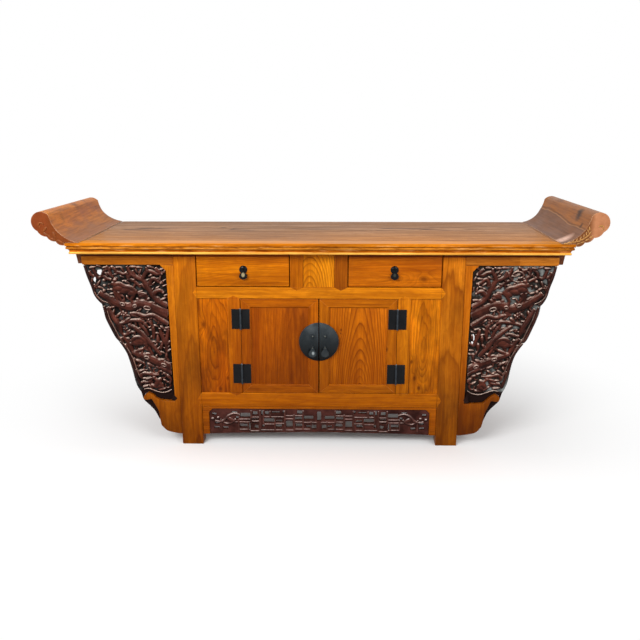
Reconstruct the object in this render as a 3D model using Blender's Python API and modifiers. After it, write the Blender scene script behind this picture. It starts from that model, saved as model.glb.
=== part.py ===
"""Altar coffer: a console buffet with everted scroll ends, two drawers, a pair of doors and carved wings.

Metres, +Z up. The origin is on the floor under the middle of the top, and the front faces -Y.
"""

from math import atan2, cos, hypot, pi, radians, sin, sqrt

import bmesh
import bpy
from mathutils import Matrix

# Clearances: pieces that touch, the gaps round drawers and doors, and the gap where the doors meet
FIT = 0.0003
DRAWER_GAP = 0.0022
DOOR_GAP = 0.0015
DOOR_MEETING_GAP = 0.004

# Heights, stacked from the floor up
STEP_HEIGHT = 0.040
APRON_HEIGHT = 0.115
BOTTOM_RAIL_HEIGHT = 0.055
DOOR_BAY_HEIGHT = 0.365
DRAWER_RAIL_HEIGHT = 0.042
DRAWER_BAY_HEIGHT = 0.129
TOP_FRAME_HEIGHT = 0.041

# Top: a mitred and moulded frame on three sides, with a plank let in flush
TOP_LENGTH = 1.772
TOP_DEPTH = 0.545
TOP_FRAME_WIDTH = 0.060
TOP_EDGE_ROUND = 0.003
FRONT_OVERHANG = 0.061
REAR_OVERHANG = 0.030
# Moulding: how far each member is set back from the top's edge, and how far down it ends
BAND_DROP = 0.0115
GROOVE_SET_BACK = 0.004
GROOVE_SLOPE = 0.0008
BEAD_TOP_DROP = 0.0145
BEAD_SET_BACK = 0.0015
BEAD_DROP = 0.0225
COVE_SET_BACK = 0.0115
COVE_DROP = 0.0325
LIP_SET_BACK = 0.0085

# Everted ends: a hollow sweep up to a roll, with scalloped lobes below
SCROLL_SEAT = 0.049
SCROLL_OVERHANG = 0.109
SCROLL_RISE = 0.109
SCROLL_EDGE = 0.0015
SCROLL_HOOK = 0.0085
ROLL_RADIUS = 0.036
ROLL_JOIN_ANGLE = 140
ROLL_END_ANGLE = -62
SWEEP_RUN_OUT = 0.048
SWEEP_LIFT = 0.0085
SWEEP_EASE_RUN = 0.0074
SWEEP_EASE_DROP = 0.049
LOBE_COUNT = 3
LOBE_BULGE = 0.005
LOBE_BEND_BACK = 0.047
LOBE_BEND_RISE = 0.018

# Cross battens under the ends of the top
BATTEN_FROM_END = 0.0025
BATTEN_WIDTH = 0.055
BATTEN_HEIGHT = 0.049
BATTEN_SLANT = 0.008

# Legs, rails and case panels
LEG_SPAN = 1.046
LEG_WIDTH = 0.080
LEG_DEPTH = 0.055
ARRIS = 0.0015
TENON_LENGTH = 0.030
TENON_THICKNESS = 0.014
TENON_SHOULDER = 0.008
GROOVE_DEPTH = 0.008
PANEL_THICKNESS = 0.010
PANEL_SET_BACK = 0.006
SIDE_PANEL_SET_BACK = 0.016
BACK_PANEL_SET_BACK = 0.014
BACK_PANEL_THICKNESS = 0.014
FLOOR_THICKNESS = 0.012
FLOOR_DROP = 0.004
SHELF_THICKNESS = 0.014

# Drawer bay
DIVIDER_WIDTH = 0.206
DIVIDER_THICKNESS = 0.024
DIVIDER_STILE_WIDTH = 0.047
DIVIDER_RECESS = 0.003
GUIDE_WIDTH = 0.022
GUIDE_HEIGHT = 0.030
DRAWER_FRONT_THICKNESS = 0.020
DRAWER_WALL = 0.012
DRAWER_BOTTOM = 0.009
DRAWER_TRAY_HEIGHT = 0.096
DRAWER_SIDE_GAP = 0.004
DRAWER_BACK_GAP = 0.012

# Door bay
FIXED_PANEL_WIDTH = 0.1095
DOOR_POST_WIDTH = 0.047
DOOR_POST_DEPTH = 0.045
DOOR_THICKNESS = 0.024
DOOR_STILE_WIDTH = 0.037
DOOR_RAIL_HEIGHT = 0.033
DOOR_CHAMFER = 0.004

# Hinges: plate leaves on the face with a barrel in front of it
HINGE_HEIGHT = 0.075
HINGE_LEAF_WIDTH = 0.033
HINGE_LEAF_THICKNESS = 0.002
HINGE_BARREL_RADIUS = 0.0045
HINGE_PIN_RADIUS = 0.0017
HINGE_PIN_HEAD_RADIUS = 0.003
HINGE_PIN_HEAD_HEIGHT = 0.003
HINGE_KNUCKLE_SHARE = 0.5
HINGE_FROM_DOOR_TOP = 0.075
HINGE_FROM_DOOR_BOTTOM = 0.076

# Round face plate in two halves, with studs and eyes
PLATE_RADIUS = 0.073
PLATE_THICKNESS = 0.003
PLATE_ABOVE_DOOR_BASE = 0.2015
STUD_RADIUS = 0.0075
STUD_HEIGHT = 0.005
STUD_OFFSET = 0.023
STUD_ABOVE_PLATE_MIDDLE = 0.022
EYE_BELOW_PLATE_MIDDLE = 0.020

# Pulls: a flat drop with a slot, hung on a ring
RING_INNER_RADIUS = 0.0026
RING_WIRE = 0.0016
RING_WIDTH = 0.0022
RING_STAND_OFF = 0.0085
STEM_RADIUS = 0.0014
DROP_THICKNESS = 0.003
DROP_BAIL = 0.0026
SLOT_CLEARANCE = 0.0008
DOOR_DROP_WIDTH = 0.028
DOOR_DROP_LENGTH = 0.038
DRAWER_DROP_WIDTH = 0.029
DRAWER_DROP_LENGTH = 0.036
# Right side of a drop's head, from the ring's middle, then shares of its half width and of its length
DROP_HEAD = ((0.0044, 0.0008), (0.0055, -0.003), (0.0066, -0.008))
DROP_BELLY = ((0.85, 0.42), (1.0, 0.62), (0.8, 0.83))
ROSETTE_RADIUS = 0.0148
ROSETTE_HEIGHT = 0.005
ROSETTE_RING_STAND_OFF = 0.0045
DRAWER_PULL_FROM_MIDDLE = 0.002
DRAWER_PULL_ABOVE_RAIL = 0.065

# Wings: a rail under the top, a board with a foot bracket beside the leg, and the carving between
WING_SET_BACK = 0.004
WING_THICKNESS = 0.024
WING_RAIL_HEIGHT = 0.048
WING_RAIL_FROM_TOP_END = 0.0315
WING_RAIL_NOSE = 0.002
WING_RAIL_NOSE_RISE = 0.008
WING_STILE_WIDTH = 0.028
WING_CORNER = 0.022
CARVING_GROUND_SET_BACK = 0.013
CARVING_GROUND_THICKNESS = 0.014
RIM_WIDTH = 0.011
RIM_INSET = 0.0006
RIM_HEIGHT = 0.0055
# The wing's outlines are drawn out from the leg and up from the step, and stretched to fill the wing's field.
# The right wing is a little fuller than the left one. First the outer edge of each carving, from the top down
LEFT_CARVING_EDGE = (
    ((0.3295, 0.658), (0.309, 0.600), (0.292, 0.555), (0.275, 0.517)),
    ((0.275, 0.517), (0.269, 0.480), (0.257, 0.439), (0.229, 0.375)),
    ((0.229, 0.375), (0.203, 0.340), (0.190, 0.300), (0.178, 0.249), (0.167, 0.194), (0.151, 0.165)),
    ((0.151, 0.165), (0.147, 0.145), (0.141, 0.131), (0.107, 0.094), (0.095, 0.071), (0.088, 0.055)),
)
RIGHT_CARVING_EDGE = (
    ((0.3295, 0.658), (0.3095, 0.600), (0.2945, 0.558), (0.287, 0.517)),
    ((0.282, 0.512), (0.277, 0.473), (0.260, 0.434), (0.242, 0.400), (0.236, 0.375)),
    ((0.236, 0.375), (0.213, 0.341), (0.197, 0.303), (0.188, 0.255), (0.180, 0.205), (0.164, 0.169)),
    ((0.164, 0.169), (0.159, 0.150), (0.152, 0.133), (0.122, 0.101), (0.108, 0.077), (0.100, 0.055)),
)
# Brackets from the stile's foot round the ear and down to the step
LEFT_BRACKET_EDGE = (
    ((0.022, 0.134), (0.048, 0.134), (0.078, 0.138), (0.092, 0.145), (0.104, 0.158), (0.122, 0.167)),
    ((0.122, 0.167), (0.136, 0.156), (0.141, 0.143), (0.133, 0.137), (0.110, 0.141)),
    ((0.110, 0.141), (0.096, 0.113), (0.086, 0.091), (0.083, 0.060), (0.079, 0.034)),
    ((0.079, 0.034), (0.062, 0.015), (0.044, 0.007), (0.010, 0)),
)
RIGHT_BRACKET_EDGE = (
    ((0.022, 0.130), (0.054, 0.130), (0.090, 0.132), (0.104, 0.142), (0.118, 0.156), (0.137, 0.168)),
    ((0.137, 0.168), (0.150, 0.160), (0.154, 0.148), (0.148, 0.138), (0.122, 0.141)),
    ((0.122, 0.141), (0.111, 0.113), (0.102, 0.091), (0.097, 0.060), (0.092, 0.036)),
    ((0.092, 0.036), (0.076, 0.016), (0.056, 0.007), (0.010, 0)),
)
CARVING_EDGES = {-1: LEFT_CARVING_EDGE, 1: RIGHT_CARVING_EDGE}
BRACKET_EDGES = {-1: LEFT_BRACKET_EDGE, 1: RIGHT_BRACKET_EDGE}
BRACKET_CUT_MARGIN = 0.012
# Main trunks of the carving, each with half its width, then its height over the ground
TRUNKS = (
    (0.0075, 0.0062, ((0.150, 0.634), (0.121, 0.610), (0.093, 0.580), (0.076, 0.550), (0.038, 0.512))),
    (0.012, 0.0078, ((0.262, 0.551), (0.236, 0.532), (0.158, 0.496), (0.080, 0.496), (0.040, 0.474))),
    (0.011, 0.0071, ((0.160, 0.322), (0.105, 0.300), (0.070, 0.286), (0.036, 0.268))),
)
TRUNK_TAPER = 0.6
FORM_ROOT = 0.004

# Apron: a thin frame under the bottom rail and a pierced key fret inside it
APRON_SET_BACK = 0.004
APRON_THICKNESS = 0.020
APRON_FRAME_SIDE = 0.025
APRON_FRAME_TOP = 0.011
APRON_CORNER = 0.014
APRON_ARCH = 0.008
FRET_SET_BACK = 0.003
FRET_THICKNESS = 0.016
# Gaps of one half of the fret: from and to, out from the middle, then from and to, up from the step,
# in a half field as wide and as high as this
FRET_DRAWN_WIDTH = 0.4171
FRET_DRAWN_HEIGHT = 0.1031
FRET_GAPS = (
    (0.010, 0.028, 0.020, 0.039),
    (0.032, 0.049, 0.026, 0.036),
    (0.022, 0.058, 0.059, 0.075),
    (0.064, 0.083, 0.079, 0.096),
    (0.065, 0.092, 0.057, 0.070),
    (0.064, 0.089, 0.028, 0.043),
    (0.101, 0.126, 0.026, 0.054),
    (0.132, 0.138, 0.084, 0.096),
    (0.140, 0.164, 0.048, 0.057),
    (0.142, 0.167, 0.026, 0.039),
    (0.149, 0.180, 0.084, 0.092),
    (0.170, 0.210, 0.046, 0.064),
    (0.191, 0.206, 0.077, 0.093),
    (0.208, 0.217, 0.026, 0.039),
    (0.213, 0.220, 0.075, 0.096),
    (0.232, 0.247, 0.020, 0.036),
    (0.232, 0.258, 0.055, 0.062),
    (0.235, 0.253, 0.075, 0.092),
    (0.238, 0.256, 0.042, 0.048),
    (0.262, 0.268, 0.016, 0.043),
    (0.262, 0.300, 0.066, 0.085),
    (0.272, 0.303, 0.026, 0.041),
    (0.306, 0.318, 0.059, 0.072),
    (0.312, 0.333, 0.082, 0.092),
    (0.348, 0.367, 0.018, 0.030),
    (0.380, 0.401, 0.020, 0.031),
    (0.380, 0.398, 0.039, 0.048),
    (0.391, 0.407, 0.074, 0.086),
)
FRET_MIDDLE_GAP = (0.0075, 0.054, 0.092)

# Levels and planes worked out from the sizes above
bottom_rail_base = STEP_HEIGHT + APRON_HEIGHT
bottom_rail_top = bottom_rail_base + BOTTOM_RAIL_HEIGHT
drawer_rail_base = bottom_rail_top + DOOR_BAY_HEIGHT
drawer_rail_top = drawer_rail_base + DRAWER_RAIL_HEIGHT
frame_base = drawer_rail_top + DRAWER_BAY_HEIGHT
top_z = frame_base + TOP_FRAME_HEIGHT
case_top = frame_base - FIT
front_y = FRONT_OVERHANG - TOP_DEPTH / 2
rear_y = TOP_DEPTH / 2 - REAR_OVERHANG
leg_outer = LEG_SPAN / 2
leg_inner = leg_outer - LEG_WIDTH
front_leg_back = front_y + LEG_DEPTH
rear_leg_front = rear_y - LEG_DEPTH
side_panel_outer = leg_outer - SIDE_PANEL_SET_BACK
side_panel_inner = side_panel_outer - PANEL_THICKNESS
back_panel_rear = rear_y - BACK_PANEL_SET_BACK
back_panel_front = back_panel_rear - BACK_PANEL_THICKNESS
post_outer = leg_inner - FIXED_PANEL_WIDTH
post_inner = post_outer - DOOR_POST_WIDTH
door_base = bottom_rail_top + DOOR_GAP
door_top = drawer_rail_base - DOOR_GAP
plate_z = door_base + PLATE_ABOVE_DOOR_BASE
hinge_x = post_inner - DOOR_GAP / 2
hinge_y = front_y - FIT - HINGE_BARREL_RADIUS
wing_rail_base = case_top - WING_RAIL_HEIGHT
wing_reach = TOP_LENGTH / 2 - WING_RAIL_FROM_TOP_END - leg_outer
wing_rise = wing_rail_base - FIT - STEP_HEIGHT
drawn_reach, drawn_rise = LEFT_CARVING_EDGE[0][0]
ring_outer_radius = RING_INNER_RADIUS + RING_WIRE

for old in list(bpy.data.objects):
    bpy.data.objects.remove(old)

PARTS = bpy.data.collections.new("altar_coffer")
CUTTERS = bpy.data.collections.new("cutters")
bpy.context.scene.collection.children.link(PARTS)
bpy.context.scene.collection.children.link(CUTTERS)

# Which way an outline's plane faces: across the front, across the length, or seen from above
FRONT = Matrix.Rotation(pi / 2, 4, "X")
SECTION = Matrix(((0, 0, 1, 0), (1, 0, 0, 0), (0, 1, 0, 0), (0, 0, 0, 1)))
PLAN = Matrix.Identity(4)
SIDES = (("left", -1), ("right", 1))


def material(name, colour, roughness, metallic=0.0):
    made = bpy.data.materials.new(name)
    made.use_nodes = True
    shader = made.node_tree.nodes["Principled BSDF"]
    shader.inputs["Base Color"].default_value = (*colour, 1)
    shader.inputs["Roughness"].default_value = roughness
    shader.inputs["Metallic"].default_value = metallic
    return made


ELM = material("elm_lacquer", (0.42, 0.17, 0.035), 0.35)
ELM_TOP = material("elm_top", (0.36, 0.20, 0.11), 0.4)
INNER_WOOD = material("inner_wood", (0.40, 0.26, 0.14), 0.7)
CARVED = material("dark_carving", (0.055, 0.022, 0.016), 0.4)
IRON = material("black_iron", (0.02, 0.02, 0.024), 0.35, 0.8)


def add(name, mesh, finish, place=PLAN, collection=PARTS):
    piece = bpy.data.objects.new(name, mesh)
    piece.matrix_world = place
    collection.objects.link(piece)
    if finish:
        mesh.materials.append(finish)
    return piece


def helper(piece):
    piece.hide_render = True
    piece.display_type = "WIRE"
    return piece


def box_mesh(low, high):
    bm = bmesh.new()
    bmesh.ops.create_cube(bm, size=1)
    bmesh.ops.scale(bm, vec=[b - a for a, b in zip(low, high)], verts=bm.verts)
    mesh = bpy.data.meshes.new("box")
    bm.to_mesh(mesh)
    bm.free()
    return mesh


def middle(low, high):
    return Matrix.Translation([(a + b) / 2 for a, b in zip(low, high)])


def box(name, low, high, finish, arris=ARRIS):
    piece = add(name, box_mesh(low, high), finish, middle(low, high))
    if arris:
        edge = piece.modifiers.new("arris", "BEVEL")
        edge.width = arris
        edge.segments = 1
    return piece


def block(low, high):
    """A hidden box that cuts or joins another piece."""
    return helper(add("block", box_mesh(low, high), None, middle(low, high), CUTTERS))


def boolean(piece, other, operation):
    modifier = piece.modifiers.new(operation.lower(), "BOOLEAN")
    modifier.operation = operation
    modifier.object = other
    modifier.solver = "EXACT"


def cut(piece, low, high):
    boolean(piece, block(low, high), "DIFFERENCE")


def join(piece, low, high):
    boolean(piece, block(low, high), "UNION")


def grown(low, high, by=FIT):
    return [v - by for v in low], [v + by for v in high]


def mesh_of(curve):
    """The closed mesh of a curve, with its caps welded on."""
    holder = bpy.data.objects.new("curve", curve)
    bpy.context.scene.collection.objects.link(holder)
    graph = bpy.context.evaluated_depsgraph_get()
    mesh = bpy.data.meshes.new_from_object(holder.evaluated_get(graph))
    bpy.data.objects.remove(holder)
    bm = bmesh.new()
    bm.from_mesh(mesh)
    bmesh.ops.remove_doubles(bm, verts=bm.verts, dist=1e-6)
    bmesh.ops.recalc_face_normals(bm, faces=bm.faces)
    bm.to_mesh(mesh)
    bm.free()
    return mesh


def outline(loops, thickness):
    curve = bpy.data.curves.new("outline", "CURVE")
    curve.dimensions = "2D"
    curve.fill_mode = "BOTH"
    curve.extrude = thickness / 2
    for loop in loops:
        spline = curve.splines.new("POLY")
        spline.points.add(len(loop) - 1)
        for point, (u, v) in zip(spline.points, loop):
            point.co = (u, v, 0, 1)
        spline.use_cyclic_u = True
    return mesh_of(curve)


def flat(name, loops, low_y, high_y, finish):
    """A board whose outline is drawn from the front, as x and z, between two depths."""
    place = Matrix.Translation((0, (low_y + high_y) / 2, 0)) @ FRONT
    return add(name, outline(loops, high_y - low_y), finish, place)


def arc(centre, radius, start, end, steps):
    """Points on an arc between two angles in degrees, both ends included."""
    turns = [radians(start + (end - start) * i / steps) for i in range(steps + 1)]
    return [(centre[0] + radius * cos(t), centre[1] + radius * sin(t)) for t in turns]


def bezier(points, steps):
    a, b, c, d = points
    line = []
    for i in range(steps + 1):
        t = i / steps
        s = 1 - t
        weights = (s**3, 3 * s * s * t, 3 * s * t * t, t**3)
        line.append(tuple(sum(w * p[k] for w, p in zip(weights, (a, b, c, d))) for k in (0, 1)))
    return line


def smooth(points, steps):
    """A curve through all the points, with a few steps between each pair."""
    line = []
    last = len(points) - 1
    for i in range(last):
        before, a, b, after = points[max(i - 1, 0)], points[i], points[i + 1], points[min(i + 2, last)]
        for j in range(steps):
            t = j / steps
            square, cube = t * t, t**3
            ahead = (t + 4 * square - 3 * cube, cube - square)
            weights = (2 * square - t - cube, 2 + 3 * cube - 5 * square, *ahead)
            near = zip(before, a, b, after)
            line.append(tuple(sum(w * v for w, v in zip(weights, values)) / 2 for values in near))
    return line + [points[-1]]


def swollen(points, by):
    """The outline moved outwards along its own normals. It runs anticlockwise or clockwise."""
    count = len(points)
    area = sum(points[i - 1][0] * points[i][1] - points[i][0] * points[i - 1][1] for i in range(count))
    way = by if area > 0 else -by
    moved = []
    for i, (u, v) in enumerate(points):
        du = points[(i + 1) % count][0] - points[i - 1][0]
        dv = points[(i + 1) % count][1] - points[i - 1][1]
        size = hypot(du, dv)
        moved.append((u + way * dv / size, v - way * du / size))
    return moved


def mirrored(points, side):
    return [(side * u, v) for u, v in points]


def dome(radius, height, sunk):
    """Half profile of a low dome, whose base is sunk below its edge."""
    curve = [(radius * u, height * v) for u, v in arc((0, 0), 1, 90, 0, 5)[1:]]
    base = [(radius, -sunk)] if sunk else []
    return [(0, height)] + curve + base + [(0, -sunk)]


def turned(name, profile, finish, place, steps=20, collection=PARTS):
    """A round piece from a half profile of radius and height, listed from the top down its outer side."""
    bm = bmesh.new()
    verts = [bm.verts.new((radius, 0, height)) for radius, height in profile]
    for a, b in zip(verts, verts[1:]):
        bm.edges.new((a, b))
    mesh = bpy.data.meshes.new(name)
    bm.to_mesh(mesh)
    bm.free()
    piece = add(name, mesh, finish, place, collection)
    screw = piece.modifiers.new("turn", "SCREW")
    screw.steps = steps
    screw.render_steps = steps
    screw.use_merge_vertices = True
    screw.merge_threshold = 0.00001
    return piece


def round_bar(radius, length, place, segments=16):
    """A hidden cylinder along local Z, centred on its place."""
    bm = bmesh.new()
    bmesh.ops.create_cone(
        bm, cap_ends=True, segments=segments, radius1=radius, radius2=radius, depth=length
    )
    mesh = bpy.data.meshes.new("bar")
    bm.to_mesh(mesh)
    bm.free()
    return helper(add("bar", mesh, None, place, CUTTERS))


def pivot(name, place):
    """An empty on a joint's axis, which the moving pieces hang on."""
    empty = bpy.data.objects.new(name, None)
    empty.location = place
    PARTS.objects.link(empty)
    return empty


def hang(pieces, empty):
    bpy.context.view_layer.update()
    for piece in pieces:
        piece.parent = empty
        piece.matrix_parent_inverse = empty.matrix_world.inverted()


def moulding_profile():
    """The frame's section as set-back from its edge and height, from the inner top to the inner base."""
    lip_height = TOP_FRAME_HEIGHT - COVE_DROP
    lip_middle = COVE_DROP + lip_height / 2
    corner = (TOP_EDGE_ROUND, -TOP_EDGE_ROUND)
    points = [(TOP_FRAME_WIDTH, 0)]
    points += arc(corner, TOP_EDGE_ROUND, 90, 180, 3)
    points += [(0, -BAND_DROP), (GROOVE_SET_BACK, -BAND_DROP - GROOVE_SLOPE)]
    points += [(GROOVE_SET_BACK, -BEAD_TOP_DROP)]
    bead_middle = (BEAD_TOP_DROP + BEAD_DROP) / 2
    bead_half = (BEAD_DROP - BEAD_TOP_DROP) / 2
    bulge = GROOVE_SET_BACK - BEAD_SET_BACK
    for turn in (60, 30, 0, -30, -60):
        t = radians(turn)
        points.append((GROOVE_SET_BACK - bulge * cos(t), bead_half * sin(t) - bead_middle))
    points.append((GROOVE_SET_BACK, -BEAD_DROP))
    cove_width = COVE_SET_BACK - GROOVE_SET_BACK
    cove_height = COVE_DROP - BEAD_DROP
    for turn in (30, 60, 90):
        t = radians(turn)
        points.append((GROOVE_SET_BACK + cove_width * sin(t), -BEAD_DROP - cove_height * (1 - cos(t))))
    lip_bulge = COVE_SET_BACK - LIP_SET_BACK
    for turn in (60, 20, -20, -60):
        t = radians(turn)
        points.append((COVE_SET_BACK - lip_bulge * cos(t), lip_height / 2 * sin(t) - lip_middle))
    points += [(COVE_SET_BACK, -TOP_FRAME_HEIGHT), (TOP_FRAME_WIDTH, -TOP_FRAME_HEIGHT)]
    return points


def moulded_rail(name, length, place, mitred_ends):
    """A rail with the moulding on its outer edge, along local X, with the edge towards local -Y."""
    mesh = outline([moulding_profile()], length)
    bm = bmesh.new()
    bm.from_mesh(mesh)
    for vert in bm.verts:
        end = 1 if vert.co.z > 0 else -1
        if end in mitred_ends:
            vert.co.z = end * (length / 2 - vert.co.x - FIT)
    bm.to_mesh(mesh)
    bm.free()
    return add(name, mesh, ELM, place @ SECTION)


def make_top():
    half_length, half_depth = TOP_LENGTH / 2, TOP_DEPTH / 2
    moulded_rail("top_rail_front", TOP_LENGTH, Matrix.Translation((0, -half_depth, top_z)), (-1, 1))
    for word, side in SIDES:
        turn = Matrix.Rotation(side * pi / 2, 4, "Z")
        place = Matrix.Translation((side * half_length, 0, top_z)) @ turn
        moulded_rail(f"top_rail_{word}", TOP_DEPTH, place, (-side,))
    reach = half_length - TOP_FRAME_WIDTH - FIT
    box(
        "top_panel",
        (-reach, -half_depth + TOP_FRAME_WIDTH + FIT, frame_base),
        (reach, half_depth, top_z),
        ELM_TOP,
        0,
    )


def scroll_outline():
    half_length = TOP_LENGTH / 2
    roll = (half_length + SCROLL_OVERHANG - ROLL_RADIUS, top_z + SCROLL_RISE - ROLL_RADIUS)
    frame_end = half_length + FIT
    inner_end = half_length - SCROLL_SEAT
    seat = top_z + FIT
    start = (inner_end, seat + SCROLL_EDGE)
    join_angle = radians(ROLL_JOIN_ANGLE)
    landing = (roll[0] + ROLL_RADIUS * cos(join_angle), roll[1] + ROLL_RADIUS * sin(join_angle))
    ease_in = (landing[0] - SWEEP_EASE_RUN, landing[1] - SWEEP_EASE_DROP)
    sweep = bezier((start, (start[0] + SWEEP_RUN_OUT, start[1] + SWEEP_LIFT), ease_in, landing), 10)
    line = sweep[:-1] + arc(roll, ROLL_RADIUS, ROLL_JOIN_ANGLE, ROLL_END_ANGLE, 16)
    foot = (frame_end + FIT, top_z - SCROLL_HOOK)
    last = line[-1]
    bend = (last[0] - LOBE_BEND_BACK, foot[1] + LOBE_BEND_RISE)
    notches = []
    for i in range(LOBE_COUNT + 1):
        t = i / LOBE_COUNT
        s = 1 - t
        notches.append(tuple(s * s * a + 2 * t * s * b + t * t * c for a, b, c in zip(last, bend, foot)))
    for a, b in zip(notches, notches[1:]):
        run, rise = b[0] - a[0], b[1] - a[1]
        size = hypot(run, rise)
        for t in (0.25, 0.5, 0.75, 1.0):
            swell = LOBE_BULGE * sin(pi * t)
            line.append((a[0] + run * t - swell * rise / size, a[1] + rise * t + swell * run / size))
    return line + [(frame_end, foot[1]), (frame_end, seat), (inner_end, seat)]


def make_scrolls():
    for word, side in SIDES:
        flat(f"scroll_end_{word}", [mirrored(scroll_outline(), side)], -TOP_DEPTH / 2, TOP_DEPTH / 2, ELM_TOP)


def rail_tenons(base, height):
    """The boxes of a front rail's tenons, left and right."""
    y = front_y + (LEG_DEPTH - TENON_THICKNESS) / 2
    for _, side in SIDES:
        ends = sorted((side * (leg_inner - TENON_LENGTH / 2), side * (leg_inner + TENON_LENGTH)))
        yield (
            (ends[0], y, base + TENON_SHOULDER),
            (ends[1], y + TENON_THICKNESS, base + height - TENON_SHOULDER),
        )


FRONT_RAILS = (
    ("drawer_rail", drawer_rail_base, DRAWER_RAIL_HEIGHT),
    ("bottom_rail", bottom_rail_base, BOTTOM_RAIL_HEIGHT),
)


def fixed_panel_box(side):
    inner, outer = post_outer - GROOVE_DEPTH, leg_inner + GROOVE_DEPTH
    ends = sorted((side * inner, side * outer))
    y = front_y + PANEL_SET_BACK
    return (
        (ends[0], y, bottom_rail_top - GROOVE_DEPTH),
        (ends[1], y + PANEL_THICKNESS, drawer_rail_base + GROOVE_DEPTH),
    )


def side_panel_box(side):
    ends = sorted((side * side_panel_inner, side * side_panel_outer))
    return (
        (ends[0], front_leg_back - GROOVE_DEPTH, bottom_rail_base),
        (ends[1], rear_leg_front + GROOVE_DEPTH, case_top),
    )


def back_panel_box():
    reach = leg_inner + GROOVE_DEPTH
    return (-reach, back_panel_front, bottom_rail_base), (reach, back_panel_rear, case_top)


def leg_box(side, low_y):
    ends = sorted((side * leg_inner, side * leg_outer))
    return (ends[0], low_y, 0), (ends[1], low_y + LEG_DEPTH, case_top)


def groove(piece, panel):
    cut(piece, *grown(*panel))


def make_frame():
    for word, side in SIDES:
        front = box(f"leg_front_{word}", *leg_box(side, front_y), ELM)
        rear = box(f"leg_rear_{word}", *leg_box(side, rear_leg_front), ELM)
        groove(front, fixed_panel_box(side))
        low, high = grown(*side_panel_box(side))
        for leg in (front, rear):
            cut(leg, low, (high[0], high[1], case_top + FIT))
        low, high = grown(*back_panel_box())
        cut(rear, low, (high[0], high[1], case_top + FIT))
        for _, base, height in FRONT_RAILS:
            for tenon in rail_tenons(base, height):
                if tenon[0][0] * side > 0:
                    groove(front, tenon)
    for name, base, height in FRONT_RAILS:
        reach = leg_inner - FIT
        rail = box(name, (-reach, front_y, base), (reach, front_leg_back - FIT, base + height), ELM)
        for tenon in rail_tenons(base, height):
            join(rail, *tenon)
        for _, side in SIDES:
            groove(rail, fixed_panel_box(side))


def make_case_panels():
    for word, side in SIDES:
        box(f"fixed_panel_{word}", *fixed_panel_box(side), ELM, 0)
        box(f"side_panel_{word}", *side_panel_box(side), ELM, 0)
    box("back_panel", *back_panel_box(), INNER_WOOD, 0)
    reach = side_panel_inner - FIT
    boards = (
        ("cabinet_floor", bottom_rail_top - FLOOR_DROP - FLOOR_THICKNESS, FLOOR_THICKNESS),
        ("drawer_shelf", drawer_rail_top - SHELF_THICKNESS, SHELF_THICKNESS),
    )
    for name, base, thickness in boards:
        low, high = (-reach, front_leg_back + FIT, base), (reach, back_panel_front - FIT, base + thickness)
        board = box(name, low, high, INNER_WOOD, 0)
        for _, side in SIDES:
            cut(board, *grown(*leg_box(side, rear_leg_front)))


def make_divider():
    half = DIVIDER_WIDTH / 2
    base = drawer_rail_top + FIT
    back = front_y + DIVIDER_THICKNESS
    divider = box("drawer_divider", (-half, front_y, base), (half, back, case_top), ELM, 0)
    hollow = half - DIVIDER_STILE_WIDTH
    cut(
        divider,
        (-hollow, front_y - DIVIDER_RECESS, base - DIVIDER_RECESS),
        (hollow, front_y + DIVIDER_RECESS, case_top + DIVIDER_RECESS),
    )
    for _, side in SIDES:
        ends = sorted((side * half, side * (half - GUIDE_WIDTH)))
        join(
            divider,
            (ends[0], front_y + DIVIDER_THICKNESS / 2, base),
            (ends[1], rear_leg_front - DRAWER_BACK_GAP, base + GUIDE_HEIGHT),
        )


def make_door_posts():
    for word, side in SIDES:
        ends = sorted((side * post_inner, side * post_outer))
        post = box(
            f"door_post_{word}",
            (ends[0], front_y, bottom_rail_top + FIT),
            (ends[1], front_y + DOOR_POST_DEPTH, drawer_rail_base - FIT),
            ELM,
        )
        groove(post, fixed_panel_box(side))


def hinge_section(out):
    """A leaf with its barrel seen from above, with the barrel's axis at 0, 0 and the leaf towards +out."""
    back = HINGE_BARREL_RADIUS
    front = back - HINGE_LEAF_THICKNESS
    meet = sqrt(HINGE_BARREL_RADIUS**2 - front**2)
    start = atan2(front, meet) * 180 / pi
    barrel = arc((0, 0), HINGE_BARREL_RADIUS, start, -270, 18)
    leaf = [(HINGE_LEAF_WIDTH, back), (HINGE_LEAF_WIDTH, front)]
    bore = arc((0, 0), HINGE_PIN_RADIUS + FIT, 0, 345, 15)
    return [mirrored(leaf + barrel, out), mirrored(bore, out)]


def hinge_levels():
    return (("upper", door_top - HINGE_FROM_DOOR_TOP), ("lower", door_base + HINGE_FROM_DOOR_BOTTOM))


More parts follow.
